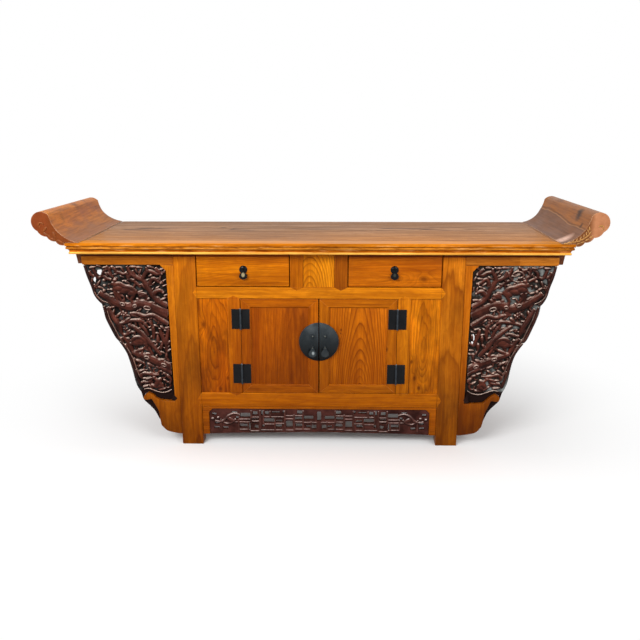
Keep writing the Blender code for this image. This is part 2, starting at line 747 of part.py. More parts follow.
def make_hinges(word, side):
    """Both hinges of one door. It returns the leaves that move with the door."""
    moving = []
    half = HINGE_HEIGHT / 2
    knuckle = half * HINGE_KNUCKLE_SHARE
    reach = 2 * HINGE_BARREL_RADIUS
    notch_reach = HINGE_BARREL_RADIUS + FIT
    for level, height in hinge_levels():
        place = Matrix.Translation((side * hinge_x, hinge_y, height))

        def notch(leaf, low, high):
            x_ends = sorted((side * hinge_x - notch_reach, side * hinge_x + notch_reach))
            cut(leaf, (x_ends[0], hinge_y - reach, low), (x_ends[1], hinge_y + reach, high))

        fixed = add(f"hinge_leaf_{level}_{word}", outline(hinge_section(side), HINGE_HEIGHT), IRON, place)
        notch(fixed, height - knuckle - FIT, height + knuckle + FIT)
        door_leaf = outline(hinge_section(-side), HINGE_HEIGHT)
        swung = add(f"hinge_door_leaf_{level}_{word}", door_leaf, IRON, place)
        notch(swung, height + knuckle, height + half + reach)
        notch(swung, height - half - reach, height - knuckle)
        seat = half + FIT
        head = dome(HINGE_PIN_HEAD_RADIUS, HINGE_PIN_HEAD_HEIGHT, 0)[:-1]
        upper = [(radius, seat + z) for radius, z in head] + [(HINGE_PIN_RADIUS, seat)]
        lower = [(radius, -z) for radius, z in reversed(upper)]
        turned(f"hinge_pin_{level}_{word}", upper + lower, IRON, place, 16)
        moving.append(swung)
    return moving


def ring(piece, place, reach):
    """A ring joined to a plate or a rosette. Place is its middle, and its stem reaches back from there."""
    across = Matrix.Rotation(pi / 2, 4, "Y")
    x, y, z = place
    stem_start = RING_INNER_RADIUS + RING_WIRE / 2
    stem_place = Matrix.Translation((x, y + (stem_start + reach) / 2, z)) @ FRONT
    boolean(piece, round_bar(STEM_RADIUS, reach - stem_start, stem_place, 10), "UNION")
    at = Matrix.Translation(place) @ across
    boolean(piece, round_bar(ring_outer_radius, RING_WIDTH, at), "UNION")
    boolean(piece, round_bar(RING_INNER_RADIUS, 2 * RING_WIDTH, at), "DIFFERENCE")


def drop_loops(width, length):
    """A pear-shaped drop with its slot, measured from the ring's middle."""
    top = DROP_BAIL / 2
    half = width / 2
    belly = [(half * out, -length * down) for out, down in DROP_BELLY]
    edge = smooth([(0, top), *DROP_HEAD, *belly, (0, top - length)], 3)
    loop = edge + [(-u, v) for u, v in reversed(edge[1:-1])]
    slot_half = RING_WIDTH / 2 + SLOT_CLEARANCE
    slot_low = -ring_outer_radius - SLOT_CLEARANCE
    slot_high = -DROP_BAIL / 2
    slot = [(-slot_half, slot_low), (slot_half, slot_low), (slot_half, slot_high), (-slot_half, slot_high)]
    return [loop, slot]


def drop(name, place, width, length):
    mesh = outline(drop_loops(width, length), DROP_THICKNESS)
    return add(name, mesh, IRON, Matrix.Translation(place) @ FRONT)


def door_ends(side, inset=0.0):
    inner, outer = DOOR_MEETING_GAP / 2 + inset, post_inner - DOOR_GAP - inset
    return sorted((side * inner, side * outer))


def make_door(word, side):
    ends = door_ends(side)
    back = front_y + DOOR_THICKNESS
    frame = box(f"door_frame_{word}", (ends[0], front_y, door_base), (ends[1], back, door_top), ELM)
    inner = door_ends(side, DOOR_STILE_WIDTH)
    low, high = door_base + DOOR_RAIL_HEIGHT, door_top - DOOR_RAIL_HEIGHT
    cut(frame, (inner[0], front_y - DOOR_THICKNESS, low), (inner[1], front_y + 2 * DOOR_THICKNESS, high))
    chamfer = bmesh.new()
    bmesh.ops.create_cone(
        chamfer,
        cap_ends=True,
        segments=4,
        radius1=sqrt(0.5),
        radius2=sqrt(0.5),
        depth=1,
        matrix=Matrix.Rotation(pi / 4, 4, "Z"),
    )
    for vert in chamfer.verts:
        spread = 2 * DOOR_CHAMFER if vert.co.z > 0 else 0
        vert.co.x *= inner[1] - inner[0] + spread
        vert.co.y *= high - low + spread
        vert.co.z *= 2 * DOOR_CHAMFER
    mesh = bpy.data.meshes.new("chamfer")
    chamfer.to_mesh(mesh)
    chamfer.free()
    at = Matrix.Translation(((inner[0] + inner[1]) / 2, front_y, (low + high) / 2)) @ FRONT
    boolean(frame, helper(add("chamfer", mesh, None, at, CUTTERS)), "DIFFERENCE")
    tongue = GROOVE_DEPTH
    panel_y = front_y + PANEL_SET_BACK
    panel = (
        (inner[0] - tongue, panel_y, low - tongue),
        (inner[1] + tongue, panel_y + PANEL_THICKNESS, high + tongue),
    )
    groove(frame, panel)
    return [frame, box(f"door_panel_{word}", *panel, ELM, 0)]


def make_face_plate(word, side):
    edge = DOOR_MEETING_GAP / 2
    limit = radians(90) - edge / PLATE_RADIUS
    turn = limit * 180 / pi
    points = [(edge, PLATE_RADIUS * sin(limit))] + arc((0, 0), PLATE_RADIUS, turn, -turn, 28)[1:-1]
    points += [(edge, -PLATE_RADIUS * sin(limit))]
    loop = [(side * u, v + plate_z) for u, v in points]
    back = front_y - FIT
    plate = flat(f"face_plate_{word}", [loop], back - PLATE_THICKNESS, back, IRON)
    for offset in (STUD_ABOVE_PLATE_MIDDLE, -EYE_BELOW_PLATE_MIDDLE):
        place = Matrix.Translation((side * STUD_OFFSET, back - PLATE_THICKNESS, plate_z + offset)) @ FRONT
        stud = turned("stud", dome(STUD_RADIUS, STUD_HEIGHT, PLATE_THICKNESS / 2), None, place, 14, CUTTERS)
        boolean(plate, helper(stud), "UNION")
    at = (side * STUD_OFFSET, back - PLATE_THICKNESS - RING_STAND_OFF, plate_z - EYE_BELOW_PLATE_MIDDLE)
    ring(plate, at, RING_STAND_OFF + PLATE_THICKNESS / 2)
    return plate, at


def make_doors():
    for word, side in SIDES:
        moving = make_door(word, side) + make_hinges(word, side)
        plate, at = make_face_plate(word, side)
        pull = drop(f"door_pull_{word}", at, DOOR_DROP_WIDTH, DOOR_DROP_LENGTH)
        door_axis = pivot(f"door_axis_{word}", (side * hinge_x, hinge_y, door_base))
        hang(moving + [plate, pull], door_axis)


def make_drawers():
    for word, side in SIDES:
        bay = sorted((side * DIVIDER_WIDTH / 2, side * leg_inner))
        front_face = front_y + ARRIS / 2
        front = box(
            f"drawer_front_{word}",
            (bay[0] + DRAWER_GAP, front_face, drawer_rail_top + DRAWER_GAP),
            (bay[1] - DRAWER_GAP, front_face + DRAWER_FRONT_THICKNESS, case_top - DRAWER_GAP),
            ELM,
        )
        low = (bay[0] + DRAWER_SIDE_GAP, front_face + DRAWER_FRONT_THICKNESS + FIT, drawer_rail_top + FIT)
        high = (bay[1] - DRAWER_SIDE_GAP, rear_leg_front - DRAWER_BACK_GAP, low[2] + DRAWER_TRAY_HEIGHT)
        tray = box(f"drawer_tray_{word}", low, high, INNER_WOOD, 0)
        cut(
            tray,
            (low[0] + DRAWER_WALL, low[1] + DRAWER_WALL, low[2] + DRAWER_BOTTOM),
            (high[0] - DRAWER_WALL, high[1] - DRAWER_WALL, high[2] + DRAWER_WALL),
        )
        height = drawer_rail_top + DRAWER_PULL_ABOVE_RAIL
        seat = ((bay[0] + bay[1]) / 2 - side * DRAWER_PULL_FROM_MIDDLE, front_face - FIT, height)
        place = Matrix.Translation(seat) @ FRONT
        rosette = turned(f"drawer_rosette_{word}", dome(ROSETTE_RADIUS, ROSETTE_HEIGHT, 0), IRON, place, 24)
        at = (seat[0], seat[1] - ROSETTE_HEIGHT - ROSETTE_RING_STAND_OFF, height)
        ring(rosette, at, ROSETTE_RING_STAND_OFF + ROSETTE_HEIGHT / 2)
        pull = drop(f"drawer_pull_{word}", at, DRAWER_DROP_WIDTH, DRAWER_DROP_LENGTH)
        slide = pivot(f"drawer_slide_{word}", seat)
        hang([front, tray, rosette, pull], slide)


def wing_points(points, side):
    """Where the points of the wing's field are, from the front."""
    wide, high = (wing_reach - WING_RAIL_NOSE) / drawn_reach, wing_rise / drawn_rise
    return [(side * (leg_outer + FIT + out * wide), STEP_HEIGHT + up * high) for out, up in points]


def run_of(stretches, steps):
    """One line through stretches that meet at cusps."""
    line = []
    for stretch in stretches:
        line += smooth(stretch, steps)[:-1]
    return line + [stretches[-1][-1]]


def strip(route, half_width):
    """The outline of a strip along a route, tapered towards its start."""
    last = len(route) - 1
    sides = ([], [])
    for i, (u, v) in enumerate(route):
        before, after = route[max(i - 1, 0)], route[min(i + 1, last)]
        du, dv = after[0] - before[0], after[1] - before[1]
        reach = half_width * (TRUNK_TAPER + (1 - TRUNK_TAPER) * i / last) / hypot(du, dv)
        sides[0].append((u - dv * reach, v + du * reach))
        sides[1].append((u + dv * reach, v - du * reach))
    return sides[0] + sides[1][::-1]


def bracket_loop(side, margin):
    """The wing board in the wing's field, with a margin at its hidden sides."""
    top = drawn_rise
    corner = (WING_STILE_WIDTH + WING_CORNER, top)
    head = [(corner[0], top + margin)] if margin else []
    edge = run_of(BRACKET_EDGES[side], 3)
    line = [(-margin, -margin), (-margin, top + margin)] + head
    return line + [corner, (WING_STILE_WIDTH, top - WING_CORNER)] + edge[:-1] + [(edge[-1][0], -margin)]


def cutter_of(piece):
    """Takes a piece out of the parts, to cut or join another."""
    PARTS.objects.unlink(piece)
    CUTTERS.objects.link(piece)
    return helper(piece)


def make_carving(word, side):
    ground_y = front_y + CARVING_GROUND_SET_BACK
    ground_back = ground_y + CARVING_GROUND_THICKNESS
    edge = run_of(CARVING_EDGES[side], 3)
    ground = wing_points([(0, edge[-1][1]), (0, drawn_rise)] + edge, side)
    carving = flat(f"wing_carving_{word}", [ground], ground_y, ground_back, CARVED)
    rim = [(out - RIM_INSET, up) for out, up in edge[1:-1]]
    rim += [(out - RIM_WIDTH, up) for out, up in reversed(edge[1:-1])]
    forms = [(rim, RIM_HEIGHT)]
    forms += [(strip(smooth(route, 2), half_width), height) for half_width, height, route in TRUNKS]
    for i, (loop, height) in enumerate(forms):
        root = ground_y + FORM_ROOT + i * FIT
        form = flat("form", [wing_points(loop, side)], ground_y - height, root, None)
        boolean(carving, cutter_of(form), "UNION")
    margin = BRACKET_CUT_MARGIN
    room = wing_points(swollen(bracket_loop(side, margin), 2 * FIT), side)
    space = flat("bracket_room", [room], ground_y - margin, ground_back + margin, None)
    boolean(carving, cutter_of(space), "DIFFERENCE")


def make_wings():
    low_y = front_y + WING_SET_BACK
    high_y = low_y + WING_THICKNESS
    for word, side in SIDES:
        inner, outer = side * (leg_outer + FIT), side * (leg_outer + wing_reach)
        rail = [(inner, case_top), (inner, wing_rail_base), (outer - side * WING_RAIL_NOSE, wing_rail_base)]
        rail += [(outer, wing_rail_base + WING_RAIL_NOSE_RISE), (outer, case_top)]
        flat(f"wing_rail_{word}", [rail], low_y, high_y, ELM)
        board = wing_points(bracket_loop(side, 0), side)
        flat(f"wing_bracket_{word}", [board], low_y, high_y, ELM)
        make_carving(word, side)


def make_apron():
    reach = leg_inner - FIT
    base, top = STEP_HEIGHT, bottom_rail_base - FIT
    inner, inner_top = reach - APRON_FRAME_SIDE, top - APRON_FRAME_TOP
    low_y = front_y + APRON_SET_BACK
    right = [(inner, base), (inner, inner_top - APRON_CORNER), (inner - APRON_CORNER, inner_top)]
    opening = right + [(-u, v) for u, v in reversed(right)]
    frame = [(-reach, base), (-reach, top), (reach, top), (reach, base)] + opening
    flat("apron_frame", [frame], low_y, low_y + APRON_THICKNESS, ELM)
    gap = 2 * FIT
    fret_reach, fret_top = inner - gap, inner_top - gap
    side = [(fret_reach, base), (fret_reach, fret_top - APRON_CORNER), (fret_reach - APRON_CORNER, fret_top)]
    arch = [(inner * (i / 8 - 1), base + APRON_ARCH * sin(pi * i / 16)) for i in range(1, 16)]
    loop = side + [(-u, v) for u, v in reversed(side)] + arch
    wide, high = fret_reach / FRET_DRAWN_WIDTH, (fret_top - base) / FRET_DRAWN_HEIGHT
    far, lower, upper = FRET_MIDDLE_GAP
    drawn = [(-far, far, lower, upper)]
    for _, way in SIDES:
        drawn += [(way * near, way * far, lower, upper) for near, far, lower, upper in FRET_GAPS]
    gaps = []
    for near, far, lower, upper in drawn:
        ends = sorted((near * wide, far * wide))
        rows = (base + lower * high, base + upper * high)
        gaps.append([(ends[0], rows[0]), (ends[1], rows[0]), (ends[1], rows[1]), (ends[0], rows[1])])
    fret_y = low_y + FRET_SET_BACK
    flat("apron_fretwork", [loop] + gaps, fret_y, fret_y + FRET_THICKNESS, CARVED)


def make_battens():
    """A cross piece under each end of the top, behind the wing."""
    low_y = front_y + WING_SET_BACK + WING_THICKNESS + FIT
    for word, side in SIDES:
        outer = TOP_LENGTH / 2 - BATTEN_FROM_END
        inner = outer - BATTEN_WIDTH
        points = [(inner, frame_base - BATTEN_HEIGHT), (outer - BATTEN_SLANT, frame_base - BATTEN_HEIGHT)]
        points += [(outer, case_top), (inner, case_top)]
        flat(f"end_batten_{word}", [mirrored(points, side)], low_y, TOP_DEPTH / 2 - REAR_OVERHANG, ELM)


make_top()
make_scrolls()
make_frame()
make_case_panels()
make_divider()
make_door_posts()
make_doors()
make_drawers()
make_wings()
make_apron()
make_battens()

for piece in PARTS.objects:
    if piece.type == "MESH":
        piece.data.shade_smooth()
        piece.data.set_sharp_from_angle(angle=radians(30))
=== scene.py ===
"""Looks of the altar coffer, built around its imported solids."""

from math import cos, hypot, pi, radians, sin
from random import Random

import bmesh
import bpy
from mathutils import Matrix, Vector


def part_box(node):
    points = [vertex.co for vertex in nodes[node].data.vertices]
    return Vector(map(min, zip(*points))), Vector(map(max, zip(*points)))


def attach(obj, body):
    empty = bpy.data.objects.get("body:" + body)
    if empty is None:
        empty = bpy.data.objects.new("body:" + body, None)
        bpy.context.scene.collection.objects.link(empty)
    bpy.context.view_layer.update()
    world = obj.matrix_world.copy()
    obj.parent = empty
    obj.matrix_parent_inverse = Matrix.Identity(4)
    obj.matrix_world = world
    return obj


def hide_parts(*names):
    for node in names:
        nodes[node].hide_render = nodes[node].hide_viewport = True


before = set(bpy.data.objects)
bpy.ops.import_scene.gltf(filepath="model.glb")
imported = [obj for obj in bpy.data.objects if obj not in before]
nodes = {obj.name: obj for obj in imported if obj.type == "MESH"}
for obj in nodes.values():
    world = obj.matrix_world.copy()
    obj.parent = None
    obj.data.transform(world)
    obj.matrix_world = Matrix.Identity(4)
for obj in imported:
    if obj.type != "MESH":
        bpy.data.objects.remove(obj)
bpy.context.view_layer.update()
scene = bpy.context.scene
SIDES = (("left", -1), ("right", 1))
MM = 0.001

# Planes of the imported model, in metres
FRONT_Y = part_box("leg_front_left")[0].y
LEG_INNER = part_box("leg_front_right")[0].x


def new_object(name, data):
    thing = bpy.data.objects.new(name, data)
    scene.collection.objects.link(thing)
    return thing


def mesh_of(bm, name):
    mesh = bpy.data.meshes.new(name)
    bm.to_mesh(mesh)
    bm.free()
    return mesh


# Camera: worked out from the photograph's straight edges
LENS = 41.05
SENSOR = 36
CAMERA_PLACE = (0.0567, -2.774, 1.2116)
CAMERA_PITCH = 0.2723
CAMERA_YAW = 0.0205
CAMERA_ROLL = -0.0009


def make_camera():
    data = bpy.data.cameras.new("camera")
    data.lens = LENS
    data.sensor_width = SENSOR
    camera = new_object("camera", data)
    turn = Matrix.Rotation(CAMERA_YAW, 4, "Z")
    tilt = Matrix.Rotation(pi / 2 - CAMERA_PITCH, 4, "X")
    roll = Matrix.Rotation(CAMERA_ROLL, 4, "Z")
    camera.matrix_world = Matrix.Translation(CAMERA_PLACE) @ turn @ tilt @ roll
    scene.camera = camera


class Tree:
    """Short calls for building the nodes of a new material, or of the world."""

    def __init__(self, name, world=None):
        self.material = world or bpy.data.materials.new(name)
        self.material.use_nodes = True
        self.nodes = self.material.node_tree.nodes
        self.links = self.material.node_tree.links
        self.shader = self.nodes.get("Principled BSDF")

    def add(self, kind, **settings):
        node = self.nodes.new(kind)
        for key, value in settings.items():
            setattr(node, key, value)
        return node

    def put(self, socket, value):
        if isinstance(value, bpy.types.NodeSocket):
            self.links.new(value, socket)
        elif value is not None:
            socket.default_value = (*value, 1) if socket.type == "RGBA" else value

    def math(self, operation, a, b=None, c=None):
        node = self.add("ShaderNodeMath", operation=operation)
        for socket, value in zip(node.inputs, (a, b, c)):
            self.put(socket, value)
        return node.outputs[0]

    def times(self, a, b):
        return self.math("MULTIPLY", a, b)

    def plus(self, a, b):
        return self.math("ADD", a, b)

    def minus(self, a, b):
        return self.math("SUBTRACT", a, b)

    def around(self, value, reach):
        """Noise moved to lie on both sides of nought."""
        return self.times(self.minus(value, 0.5), reach)

    def distance(self, a, b):
        return self.math("SQRT", self.plus(self.times(a, a), self.times(b, b)))

    def vector(self, operation, a, b=None, scale=None):
        node = self.add("ShaderNodeVectorMath", operation=operation)
        self.put(node.inputs[0], a)
        self.put(node.inputs[1], b)
        if scale is not None:
            self.put(node.inputs["Scale"], scale)
        return node.outputs["Value" if operation in ("LENGTH", "DOT_PRODUCT") else "Vector"]

    def split(self, vector):
        node = self.add("ShaderNodeSeparateXYZ")
        self.put(node.inputs[0], vector)
        return node.outputs

    def join(self, x, y, z):
        node = self.add("ShaderNodeCombineXYZ")
        for socket, value in zip(node.inputs, (x, y, z)):
            self.put(socket, value)
        return node.outputs[0]

    def noise(self, vector, scale, detail, rough=0.5, distortion=0.0):
        node = self.add("ShaderNodeTexNoise")
        self.put(node.inputs["Vector"], vector)
        node.inputs["Scale"].default_value = scale
        node.inputs["Detail"].default_value = detail
        node.inputs["Roughness"].default_value = rough
        node.inputs["Distortion"].default_value = distortion
        return node.outputs["Fac"]

    def ramp(self, value, stops):
        node = self.add("ShaderNodeValToRGB")
        self.put(node.inputs[0], value)
        elements = node.color_ramp.elements
        while len(elements) < len(stops):
            elements.new(0.5)
        for element, (place, level) in zip(elements, stops):
            element.position = place
            element.color = (level, level, level, 1)
        return node.outputs[0]

    def mix(self, amount, a, b):
        node = self.add("ShaderNodeMix", data_type="RGBA")
        self.put(node.inputs[0], amount)
        self.put(node.inputs[6], a)
        self.put(node.inputs[7], b)
        return node.outputs[2]

    def spread(self, value, low, high, new_low=0.0, new_high=1.0, kind="LINEAR"):
        """The value's range moved onto another, held at its ends."""
        node = self.add("ShaderNodeMapRange", interpolation_type=kind)
        for socket, number in zip(node.inputs, (value, low, high, new_low, new_high)):
            self.put(socket, number)
        return node.outputs[0]

    def bump(self, height, distance, strength, normal=None):
        node = self.add("ShaderNodeBump")
        node.inputs["Strength"].default_value = strength
        node.inputs["Distance"].default_value = distance
        self.put(node.inputs["Height"], height)
        self.put(node.inputs["Normal"], normal)
        return node.outputs[0]

    def place(self):
        return self.add("ShaderNodeTexCoord").outputs["Object"]

    def geometry(self):
        return self.add("ShaderNodeNewGeometry").outputs

    def strewn(self, place, seed):
        """The place moved by a chance step, so that no two pieces show the same noise."""
        random = Random(seed)
        return self.vector("ADD", place, tuple(random.uniform(-3, 3) for _ in range(3)))

    def away(self, place, middle, scale):
        """How far the place is from a middle, as a vector that is scaled along each axis."""
        return self.vector("MULTIPLY", self.vector("SUBTRACT", place, middle), scale)

    def edges(self, radius, high=0.25):
        """One along sharp outer edges, fading over the radius."""
        bevel = self.add("ShaderNodeBevel", samples=4)
        bevel.inputs["Radius"].default_value = radius
        facing = self.vector("DOT_PRODUCT", bevel.outputs[0], self.geometry()["Normal"])
        return self.spread(self.minus(1.0, facing), 0.02, high)

    def seen_directly(self):
        """One where a camera, mirror or glass ray sees the surface itself."""
        rays = self.add("ShaderNodeLightPath").outputs
        seen = self.math("MAXIMUM", rays["Is Camera Ray"], rays["Is Glossy Ray"])
        return self.math("MAXIMUM", seen, rays["Is Transmission Ray"])

    def blend(self, amount, a, b):
        """Two shaders in one."""
        node = self.add("ShaderNodeMixShader")
        for socket, value in zip(node.inputs, (amount, a, b)):
            self.put(socket, value)
        return node.outputs[0]

    def finish(self, colour, rough, specular, normal=None):
        inputs = self.shader.inputs
        self.put(inputs["Base Color"], colour)
        self.put(inputs["Roughness"], rough)
        self.put(inputs["Specular IOR Level"], specular)
        self.put(inputs["Normal"], normal)
        return self.material


# Lamps: name, place, what it points at, size and power
LAMPS = (
    ("key", (-1.5, -2.7, 2.15), (0, -0.1, 0.5), (1.9, 1.2), 86),
    ("fill", (1.9, -2.7, 2.0), (0, -0.1, 0.45), (1.7, 1.4), 42),
    ("top", (0, 0.4, 3.4), (0, 0, 0.5), (3.0, 1.6), 22),
)
# Strength of the world's light on the object, and of the white that is seen behind it
AMBIENT = 0.50
BACKGROUND = 1.0


def make_lamps():
    for name, place, target, size, power in LAMPS:
        data = bpy.data.lights.new(name, "AREA")
        data.shape = "RECTANGLE"
        data.size, data.size_y = size
        data.energy = power
        lamp = new_object(name, data)
        lamp.location = place
        lamp.rotation_euler = (Vector(target) - Vector(place)).to_track_quat("-Z", "Y").to_euler()


def make_world():
    scene.world = bpy.data.worlds.new("studio")
    tree = Tree("studio", scene.world)
    tree.nodes.clear()
    shaders = []
    for strength in (AMBIENT, BACKGROUND):
        shader = tree.add("ShaderNodeBackground")
        tree.put(shader.inputs["Color"], (1, 1, 1))
        tree.put(shader.inputs["Strength"], strength)
        shaders.append(shader.outputs[0])
    out = tree.add("ShaderNodeOutputWorld")
    tree.put(out.inputs[0], tree.blend(tree.seen_directly(), *shaders))


# The floor throws back less light than the eye sees on it, and fades to white away from the object
FLOOR_REACH = 30
FLOOR_BOUNCE = 0.30
FLOOR_TONE = 0.97
FLOOR_ROUGHNESS = 0.9
FLOOR_FADE = (0.5, 1.6)


def make_floor():
    bm = bmesh.new()
    bmesh.ops.create_grid(bm, x_segments=1, y_segments=1, size=FLOOR_REACH)
    floor = new_object("floor", mesh_of(bm, "floor"))
    tree = Tree("floor_white")
    direct = tree.seen_directly()
    tree.finish(tree.spread(direct, 0.0, 1.0, FLOOR_BOUNCE, FLOOR_TONE), FLOOR_ROUGHNESS, 0.0)
    reach = tree.vector("LENGTH", tree.geometry()["Position"])
    far = tree.spread(reach, *FLOOR_FADE, kind="SMOOTHSTEP")
    white = tree.add("ShaderNodeEmission").outputs[0]
    mixed = tree.blend(tree.times(far, direct), tree.shader.outputs[0], white)
    tree.put(tree.nodes["Material Output"].inputs[0], mixed)
    floor.data.materials.append(tree.material)


make_camera()
make_world()
make_floor()
make_lamps()


def linear(red, green, blue):
    """A colour given as 0 to 255, in the shader's own scale."""
    out = []
    for value in (red, green, blue):
        level = value / 255
        out.append(level / 12.92 if level <= 0.04045 else ((level + 0.055) / 1.055) ** 2.4)
    return tuple(out)


def shaded(colour, *levels):
    """The colour with each channel scaled."""
    return tuple(c * level for c, level in zip(colour, levels))


# Painted shade: the wood darkens towards the feet
FEET_SHADE = ("z", 0.70, 0.05, (0.46, 0.41, 0.34))
# Heights where the chipped hollow of the top's moulding starts and ends, and how sharp a band's edge is
HOLLOW_START, HOLLOW_END = (0.7530, 0.7560), (0.7790, 0.7830)
BAND_EDGE = 0.0005


def wood(
    name, along, across, seed, tone, pith=(0.02, 0.06), tilt=(0.0, 0.05), bow=0.0, spacing=0.007,
    wobble=0.010, line=0.34, blotch=0.16, blotch_size=3.4, gloss=0.30, knots=(), wear=0.5, up_tone=None,
    bands=(), dark=None, fades=(FEET_SHADE,), shine=0.06,
):
    """Sawn and lacquered wood with growth rings, in a tone given as 0 to 255.

    Along and across name the board's axes, and the third one is its depth. Pith is where the tree's middle
    runs, across and deep, and tilt and bow are how it leans along the grain. Knots are (across, along,
    radius). Up tone is the colour of faces that look up, bands are (bottom, top, level) of bands by height,
    such as a moulding's steps with painted shade and highlight or the painted shadow under the top, and
    fades are (axis, from, to, level) of a change of tone along an axis, such as the painted shade towards
    the feet.
    """
    tree = Tree(name)
    random = Random(seed)
    mid = linear(*tone)
    dark = linear(*dark) if dark else shaded(mid, 0.36, 0.27, 0.2)
    pale = shaded(mid, 1.28, 1.42, 1.9)
    place = tree.place()
    axes = dict(zip("xyz", tree.split(place)))
    deep_axis = ({"x", "y", "z"} - {along, across}).pop()
    u, v, w = axes[across], axes[deep_axis], axes[along]
    shift = Vector([random.uniform(-5, 5) for _ in range(3)])
    moved = tree.vector("ADD", tree.join(u, v, w), tuple(shift))

    def grained(share, *settings):
        """Noise that is drawn out along the grain."""
        return tree.noise(tree.vector("MULTIPLY", moved, (1.0, 1.0, share)), *settings)

    pull = None
    dark_knot = None
    for knot_u, knot_w, radius in knots:
        du = tree.minus(u, knot_u)
        dw = tree.times(tree.minus(w, knot_w), 0.6)
        distance = tree.distance(du, dw)
        near = tree.math("EXPONENT", tree.times(distance, -0.7 / radius))
        force = tree.times(near, 2.6 * radius)
        pull = force if pull is None else tree.plus(pull, force)
        core = tree.spread(distance, radius * 0.2, radius * 0.9, 1.0, 0.0)
        dark_knot = core if dark_knot is None else tree.math("MAXIMUM", dark_knot, core)
    lean_u = tree.math("MULTIPLY_ADD", w, tilt[0], pith[0])
    lean_v = tree.math("MULTIPLY_ADD", tree.math("MULTIPLY_ADD", w, bow, tilt[1]), w, pith[1])
    sway = tree.around(grained(0.16, 9.0, 2.0), wobble * 2.4)
    ripple = tree.around(grained(0.16, 46.0, 2.0), wobble * 0.5)
    du = tree.plus(tree.minus(u, lean_u), sway)
    dv = tree.minus(v, lean_v)
    radius = tree.distance(du, dv)
    radius = tree.plus(tree.plus(radius, ripple), sway)
    if pull is not None:
        radius = tree.plus(radius, pull)
    turns = tree.math("DIVIDE", radius, spacing)
    stops = ((0.0, 0.35), (0.10, 0.0), (0.5, 0.10), (0.84, 0.55), (0.95, 1.0), (1.0, 0.45))
    profile = tree.ramp(tree.math("FRACT", turns), stops)
    year = tree.noise(tree.join(turns, shift.x, 0.0), 0.55, 1.0)
    rings = tree.times(tree.times(profile, tree.spread(year, 0.3, 0.7, 0.25, 1.0)), line)
    streaks = grained(0.022, 300.0, 4.0, 0.62)
    pore = tree.spread(grained(0.02, 900.0, 2.0, 0.6), 0.52, 0.72)
    band = grained(0.09, 24.0, 4.0, 0.6)
    cloud = grained(0.45, blotch_size, 4.0, 0.6, 0.4)
    figure = grained(0.4, 44.0, 3.0, 0.6, 1.2)
    colour = tree.mix(tree.spread(band, 0.30, 0.70), shaded(mid, 0.72, 0.64, 0.45), pale)
    colour = tree.mix(tree.spread(figure, 0.36, 0.68, 0.0, 0.55), colour, shaded(mid, 0.66, 0.56, 0.4))
    fibre = grained(0.035, 115.0, 3.0, 0.6)
    colour = tree.mix(tree.spread(fibre, 0.50, 0.72, 0.0, 0.55), colour, shaded(mid, 0.42, 0.34, 0.25))
    colour = tree.mix(tree.spread(fibre, 0.46, 0.26, 0.0, 0.5), colour, pale)
    colour = tree.mix(rings, colour, dark)
    colour = tree.mix(tree.spread(streaks, 0.44, 0.74, 0.0, 0.55), colour, dark)
    colour = tree.mix(tree.times(pore, 0.2), colour, shaded(dark, 0.5, 0.5, 0.5))
    if dark_knot is not None:
        colour = tree.mix(tree.times(dark_knot, 0.75), colour, shaded(dark, 0.5, 0.45, 0.4))
    level = tree.spread(cloud, 0.28, 0.72, 1 - blotch * 1.5, 1 + blotch)
    tint = tree.vector("SCALE", colour, scale=level)
    uneven = grained(0.3, 60.0, 3.0, 0.6)
    height = tree.math("MULTIPLY_ADD", tree.minus(uneven, 0.5), 0.0036, tree.split(place)[2])
    for bottom, top, share in bands:
        inside = tree.times(
            tree.spread(height, bottom - BAND_EDGE, bottom + BAND_EDGE),
            tree.spread(height, top - BAND_EDGE, top + BAND_EDGE, 1.0, 0.0),
        )
        tint = tree.mix(inside, tint, tree.vector("MULTIPLY", tint, share))
    for axis, start, end, share in fades:
        tint = tree.mix(tree.spread(axes[axis], start, end), tint, tree.vector("MULTIPLY", tint, share))
    if up_tone:
        stroke = grained(0.12, 120.0, 3.0, 0.65)
        hollow = tree.times(tree.spread(height, *HOLLOW_START), tree.spread(height, *HOLLOW_END, 1.0, 0.0))
        chipped = tree.times(hollow, tree.spread(stroke, 0.53, 0.62, 0.0, 0.8))
        tint = tree.mix(chipped, tint, tree.vector("MULTIPLY", tint, (0.42, 0.28, 0.2)))
        wear_and_highlight = tree.times(hollow, tree.spread(stroke, 0.44, 0.34, 0.0, 0.55))
        tint = tree.mix(wear_and_highlight, tint, linear(240, 176, 104))
        facing = tree.split(tree.geometry()["Normal"])[2]
        upper = linear(*up_tone)
        upper = tree.mix(tree.spread(streaks, 0.3, 0.75), upper, shaded(upper, 0.5, 0.46, 0.42))
        tint = tree.mix(tree.spread(facing, 0.7, 0.95), tint, tree.vector("SCALE", upper, scale=level))
    worn = tree.times(tree.edges(0.003), tree.spread(tree.noise(moved, 38.0, 3.0), 0.40, 0.66, 0.0, wear))
    final = tree.mix(worn, tint, tuple(min(1.0, 1.15 * c + 0.05) for c in pale))
    rough = tree.spread(tree.plus(cloud, tree.times(streaks, 0.5)), 0.4, 1.1, gloss * 0.8, gloss * 1.4)
    tree.shader.inputs["Coat Weight"].default_value = 0.03
    tree.shader.inputs["Coat Roughness"].default_value = 0.14
    relief = tree.minus(tree.times(streaks, -0.5), tree.times(pore, 0.7))
    fine = tree.bump(relief, 0.00025, 0.8)
    wavy = tree.bump(grained(0.25, 16.0, 2.0), 0.0018, 0.4, fine)
    return tree.finish(final, rough, shine, wavy)


def body_of(node):
    """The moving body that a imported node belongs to."""
    side = node.rsplit("_", 1)[-1]
    for start in ("door_pull", "drawer_pull"):
        if node.startswith(start):
            return f"{start}_{side}"
    if node.startswith(("door_frame", "door_panel", "hinge_door_leaf", "face_plate")):
        return f"door_{side}"
    if node.startswith(("drawer_front", "drawer_tray", "drawer_rosette")):
        return f"drawer_{side}"
    return "cabinet"


